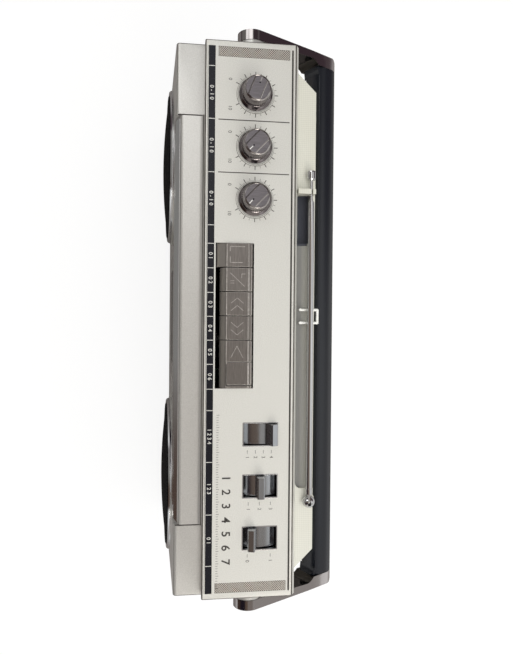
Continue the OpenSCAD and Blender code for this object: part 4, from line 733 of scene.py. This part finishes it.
# Painted shade and painted highlight: the inner faces, towards the cabinet, are
# painted dark, standing in for the shade they mirror, and the arms are painted
# lighter towards the grip, standing in for a bright reflection there
facing = add(tree, "ShaderNodeSeparateXYZ", {"Vector": place.node.outputs["Normal"]})
parts = add(tree, "ShaderNodeSeparateXYZ", {"Vector": place})
side = add(tree, "ShaderNodeMath", {0: parts.outputs["X"]}, operation="SIGN")
inward = add(tree, "ShaderNodeMath", {0: facing.outputs["X"], 1: side}, operation="MULTIPLY")
turned_in = add(tree, "ShaderNodeMapRange", {"Value": inward, "From Min": -0.2, "From Max": -0.45})
depth = parts.outputs["Y"]
behind = add(tree, "ShaderNodeMapRange", {"Value": depth, "From Min": 30 * MM, "From Max": 40 * MM})
dimming = add(tree, "ShaderNodeMath", {0: turned_in, 1: behind}, operation="MULTIPLY")
lightening = add(tree, "ShaderNodeMapRange", {"Value": depth, "From Min": 60 * MM, "From Max": 118 * MM})
outside = add(tree, "ShaderNodeMix", {0: lightening, 6: linear("a9a4a3"), 7: linear("f2eeec")},
              data_type="RGBA")
tint = add(tree, "ShaderNodeMix", {0: dimming, 6: outside, 7: linear("433f3e")}, data_type="RGBA")
add(tree, shader, {"Base Color": tint, "Roughness": rough})
softened("handle_arms", plated, 1.0, 3, rim=rim_metal)
grip, tree, shader, place = surface("soft_gloss_black_abs", "15181e", 0, 0.26)
pores = add(tree, "ShaderNodeTexNoise", {"Vector": place, "Scale": 1 / (0.8 * MM), "Detail": 4})
relief = add(tree, "ShaderNodeBump", {"Height": pores, "Distance": 0.03 * MM, "Strength": 0.4})
add(tree, shader, {"Normal": relief})
softened("handle_grip", grip, 0.8, 3)

# Antenna seat: a steel wire cradle dipped in white vinyl, slightly uneven in
# tone, and a snap clip of the rear cover's cream ABS.
wire, tree, shader, place = surface("white_vinyl_coated_wire", "f1f1ec", 0, 0.3)
dip = add(tree, "ShaderNodeTexNoise", {"Vector": place, "Scale": 1 / (4 * MM), "Detail": 3})
tint = add(tree, "ShaderNodeValToRGB", {"Fac": dip}, stops=[(0.3, "e9e9e2"), (0.7, "f5f5f1")])
add(tree, shader, {"Base Color": tint})
dress(wire, "antenna_cradle")
softened("antenna_clip", cream, 0.3)

# Studio: a white paper floor in a white room under soft lamps. Metal sees the
# room's darker parts too: whoever stands in front, and the far left corner.
room = bpy.data.worlds.new("white_room")
bpy.context.scene.world = room
room.use_nodes = True
tree = room.node_tree
ray = add(tree, "ShaderNodeLightPath")
heading = add(tree, "ShaderNodeTexCoord").outputs["Generated"]
glossy = linear("c4c1be")
fill = linear("5e5e5d")
# A window, dark corners and people as patches of the room: middle direction,
# cosines of its outer and inner edge, colour and gain
for axis, outer, inner, colour, gain in (
        ((0, -0.97, 0.2), 0.60, 0.90, "8f8d8a", 1), ((0.55, -0.82, 0.15), 0.85, 0.95, "57473f", 1),
        ((-0.3, -0.42, 0.86), 0.86, 0.925, "ffffff", 2.3), ((0, -0.57, 0.82), 0.87, 0.945, "6e6763", 1),
        ((0.18, -0.35, 0.918), 0.87, 0.935, "7d6c60", 1),
        ((1, 0, 0.2), 0.75, 0.95, "d4cec8", 1), ((-1, 0, 0.1), 0.70, 0.90, "2c272b", 1),
        ((-0.55, 0.35, 0.76), 0.89, 0.97, "51454a", 1), ((0.52, 0.30, 0.80), 0.93, 0.975, "a59d97", 1),
        ((0, 0.78, 0.62), 0.90, 0.98, "ffffff", 1), ((-0.43, 0.85, 0.25), 0.85, 0.96, "51434a", 1),
        ((0.75, 0.55, 0.1), 0.90, 0.97, "ffffff", 1.6), ((0.76, 0.17, 0.62), 0.972, 0.99, "fffaf2", 7),
        ((0.46, -0.62, 0.64), 0.92, 0.975, "2b2530", 1)):
    near = add(tree, "ShaderNodeVectorMath", {0: heading, 1: axis}, operation="DOT_PRODUCT")
    share = add(tree, "ShaderNodeMapRange", {"Value": near.outputs["Value"], "From Min": outer,
                "From Max": inner}, interpolation_type="SMOOTHSTEP")
    seen = [gain * part for part in linear(colour)[:3]] + [1]
    glossy = add(tree, "ShaderNodeMix", {0: share, 6: glossy, 7: seen}, data_type="RGBA")

# The light that dull surfaces gather: most from above, brown from the front right
for axis, outer, inner, colour in (((0, 0.35, 0.94), -0.7, 1, "e2e2e0"),
                                   ((0.75, -0.6, 0.25), 0.3, 0.9, "5a4a40")):
    near = add(tree, "ShaderNodeVectorMath", {0: heading, 1: axis}, operation="DOT_PRODUCT")
    share = add(tree, "ShaderNodeMapRange", {"Value": near.outputs["Value"], "From Min": outer,
                "From Max": inner})
    fill = add(tree, "ShaderNodeMix", {0: share, 6: fill, 7: linear(colour)}, data_type="RGBA")
diffuse = add(tree, "ShaderNodeMix", {0: ray.outputs["Is Diffuse Ray"], 6: glossy, 7: fill},
              data_type="RGBA")
seen = add(tree, "ShaderNodeMath", {0: ray.outputs["Is Camera Ray"],
           1: ray.outputs["Is Transmission Ray"]}, operation="MAXIMUM")
light = add(tree, "ShaderNodeMix", {0: seen, 6: diffuse, 7: (1, 1, 1, 1)}, data_type="RGBA")
add(tree, tree.nodes["Background"], {"Color": light, "Strength": 1})

# The floor is white to the eye and in reflections from far off, and keeps the
# object's shadow; reflections near the object see it painted grey and towards the
# left painted dark, both painted shade
floor_half, player_half, near_edge, far_edge = 4, (0.25, 0.08, 0), 0.1, 0.8
sheet = bmesh.new()
bmesh.ops.create_grid(sheet, x_segments=1, y_segments=1, size=floor_half)
floor_mesh = bpy.data.meshes.new("paper_floor")
sheet.to_mesh(floor_mesh)
sheet.free()
floor = bpy.data.objects.new("paper_floor", floor_mesh)
bpy.context.scene.collection.objects.link(floor)
paper_white, tree, shader, place = surface("white_studio_paper", "f2f2f2", 0, 0.9)
fibre = add(tree, "ShaderNodeTexNoise", {"Vector": place, "Scale": 1 / (2 * MM), "Detail": 4})
tint = add(tree, "ShaderNodeValToRGB", {"Fac": fibre}, stops=[(0.3, "efefee"), (0.7, "f5f5f5")])
ray = add(tree, "ShaderNodeLightPath")
size = add(tree, "ShaderNodeVectorMath", {0: place}, operation="ABSOLUTE")
past = add(tree, "ShaderNodeVectorMath", {0: size, 1: player_half}, operation="SUBTRACT")
clear = add(tree, "ShaderNodeVectorMath", {0: past, 1: (0, 0, 0)}, operation="MAXIMUM")
apart = add(tree, "ShaderNodeVectorMath", {0: clear}, operation="LENGTH").outputs["Value"]
far = add(tree, "ShaderNodeMapRange", {"Value": apart, "From Min": near_edge, "From Max": far_edge})
mirrored = add(tree, "ShaderNodeMath", {0: ray.outputs["Is Glossy Ray"], 1: far}, operation="MULTIPLY")
# Painted shade: reflections see the paper grey
shade = add(tree, "ShaderNodeMix", {0: ray.outputs["Is Glossy Ray"], 6: tint, 7: linear("8a8583")},
            data_type="RGBA")
add(tree, shader, {"Base Color": shade})
direct = add(tree, "ShaderNodeMath", {0: ray.outputs["Is Camera Ray"], 1: mirrored}, operation="MAXIMUM")
bright = add(tree, "ShaderNodeMath", {0: direct, 1: 0.8}, operation="MULTIPLY")
across = add(tree, "ShaderNodeSeparateXYZ", {"Vector": place}).outputs["X"]
# Painted shade: towards the left, reflections see the floor dark
side = add(tree, "ShaderNodeMapRange", {"Value": across, "From Min": -0.25, "From Max": -0.7})
unlit = add(tree, "ShaderNodeMath", {0: ray.outputs["Is Glossy Ray"], 1: side}, operation="MULTIPLY")
tone = add(tree, "ShaderNodeMix", {0: unlit, 6: (1, 1, 1, 1), 7: linear("51434a")}, data_type="RGBA")
glow = add(tree, "ShaderNodeEmission", {"Color": tone, "Strength": 1.06})
mixed = add(tree, "ShaderNodeMixShader", {0: bright, 1: shader, 2: glow})
add(tree, tree.nodes["Material Output"], {"Surface": mixed})
floor_mesh.materials.append(paper_white)

# Two soft lamps: one from the right and behind, one from the ceiling
for name, where, size, power in (("window", (0.55, 0.32, 1.05), 0.8, 2.8),
                                 ("ceiling", (0.1, 0.1, 1.9), 1.4, 12)):
    lamp = bpy.data.lights.new(name, "AREA")
    lamp.size = size
    lamp.energy = power
    stand = bpy.data.objects.new(name, lamp)
    bpy.context.scene.collection.objects.link(stand)
    stand.location = where
    stand.visible_glossy = False
    stand.rotation_euler = (Vector((0, 0, 0.1)) - Vector(where)).to_track_quat("-Z", "Y").to_euler()

# Camera: close above the deck, turned so that the player's left end is up. Its
# place, turn and lens are worked out from the straight edges in the photograph.
focal_px, picture_px, sensor_mm = 591.09, 655, 36
eye = Vector((0.949, -17.803, 474.89))
lens = bpy.data.cameras.new("camera")
lens.lens = focal_px / picture_px * sensor_mm
lens.sensor_width = sensor_mm
camera = bpy.data.objects.new("camera", lens)
bpy.context.scene.collection.objects.link(camera)
bpy.context.scene.camera = camera
camera.location = on_deck @ eye
sideways, back, quarter_turn = -0.0089, 0.1273, math.pi / 2 + 0.0074
turn = (Matrix.Rotation(sideways, 3, "Y") @ Matrix.Rotation(back, 3, "X")
        @ Matrix.Rotation(quarter_turn, 3, "Z"))
camera.rotation_euler = turn.to_euler()
bpy.context.scene.view_settings.view_transform = "Standard"
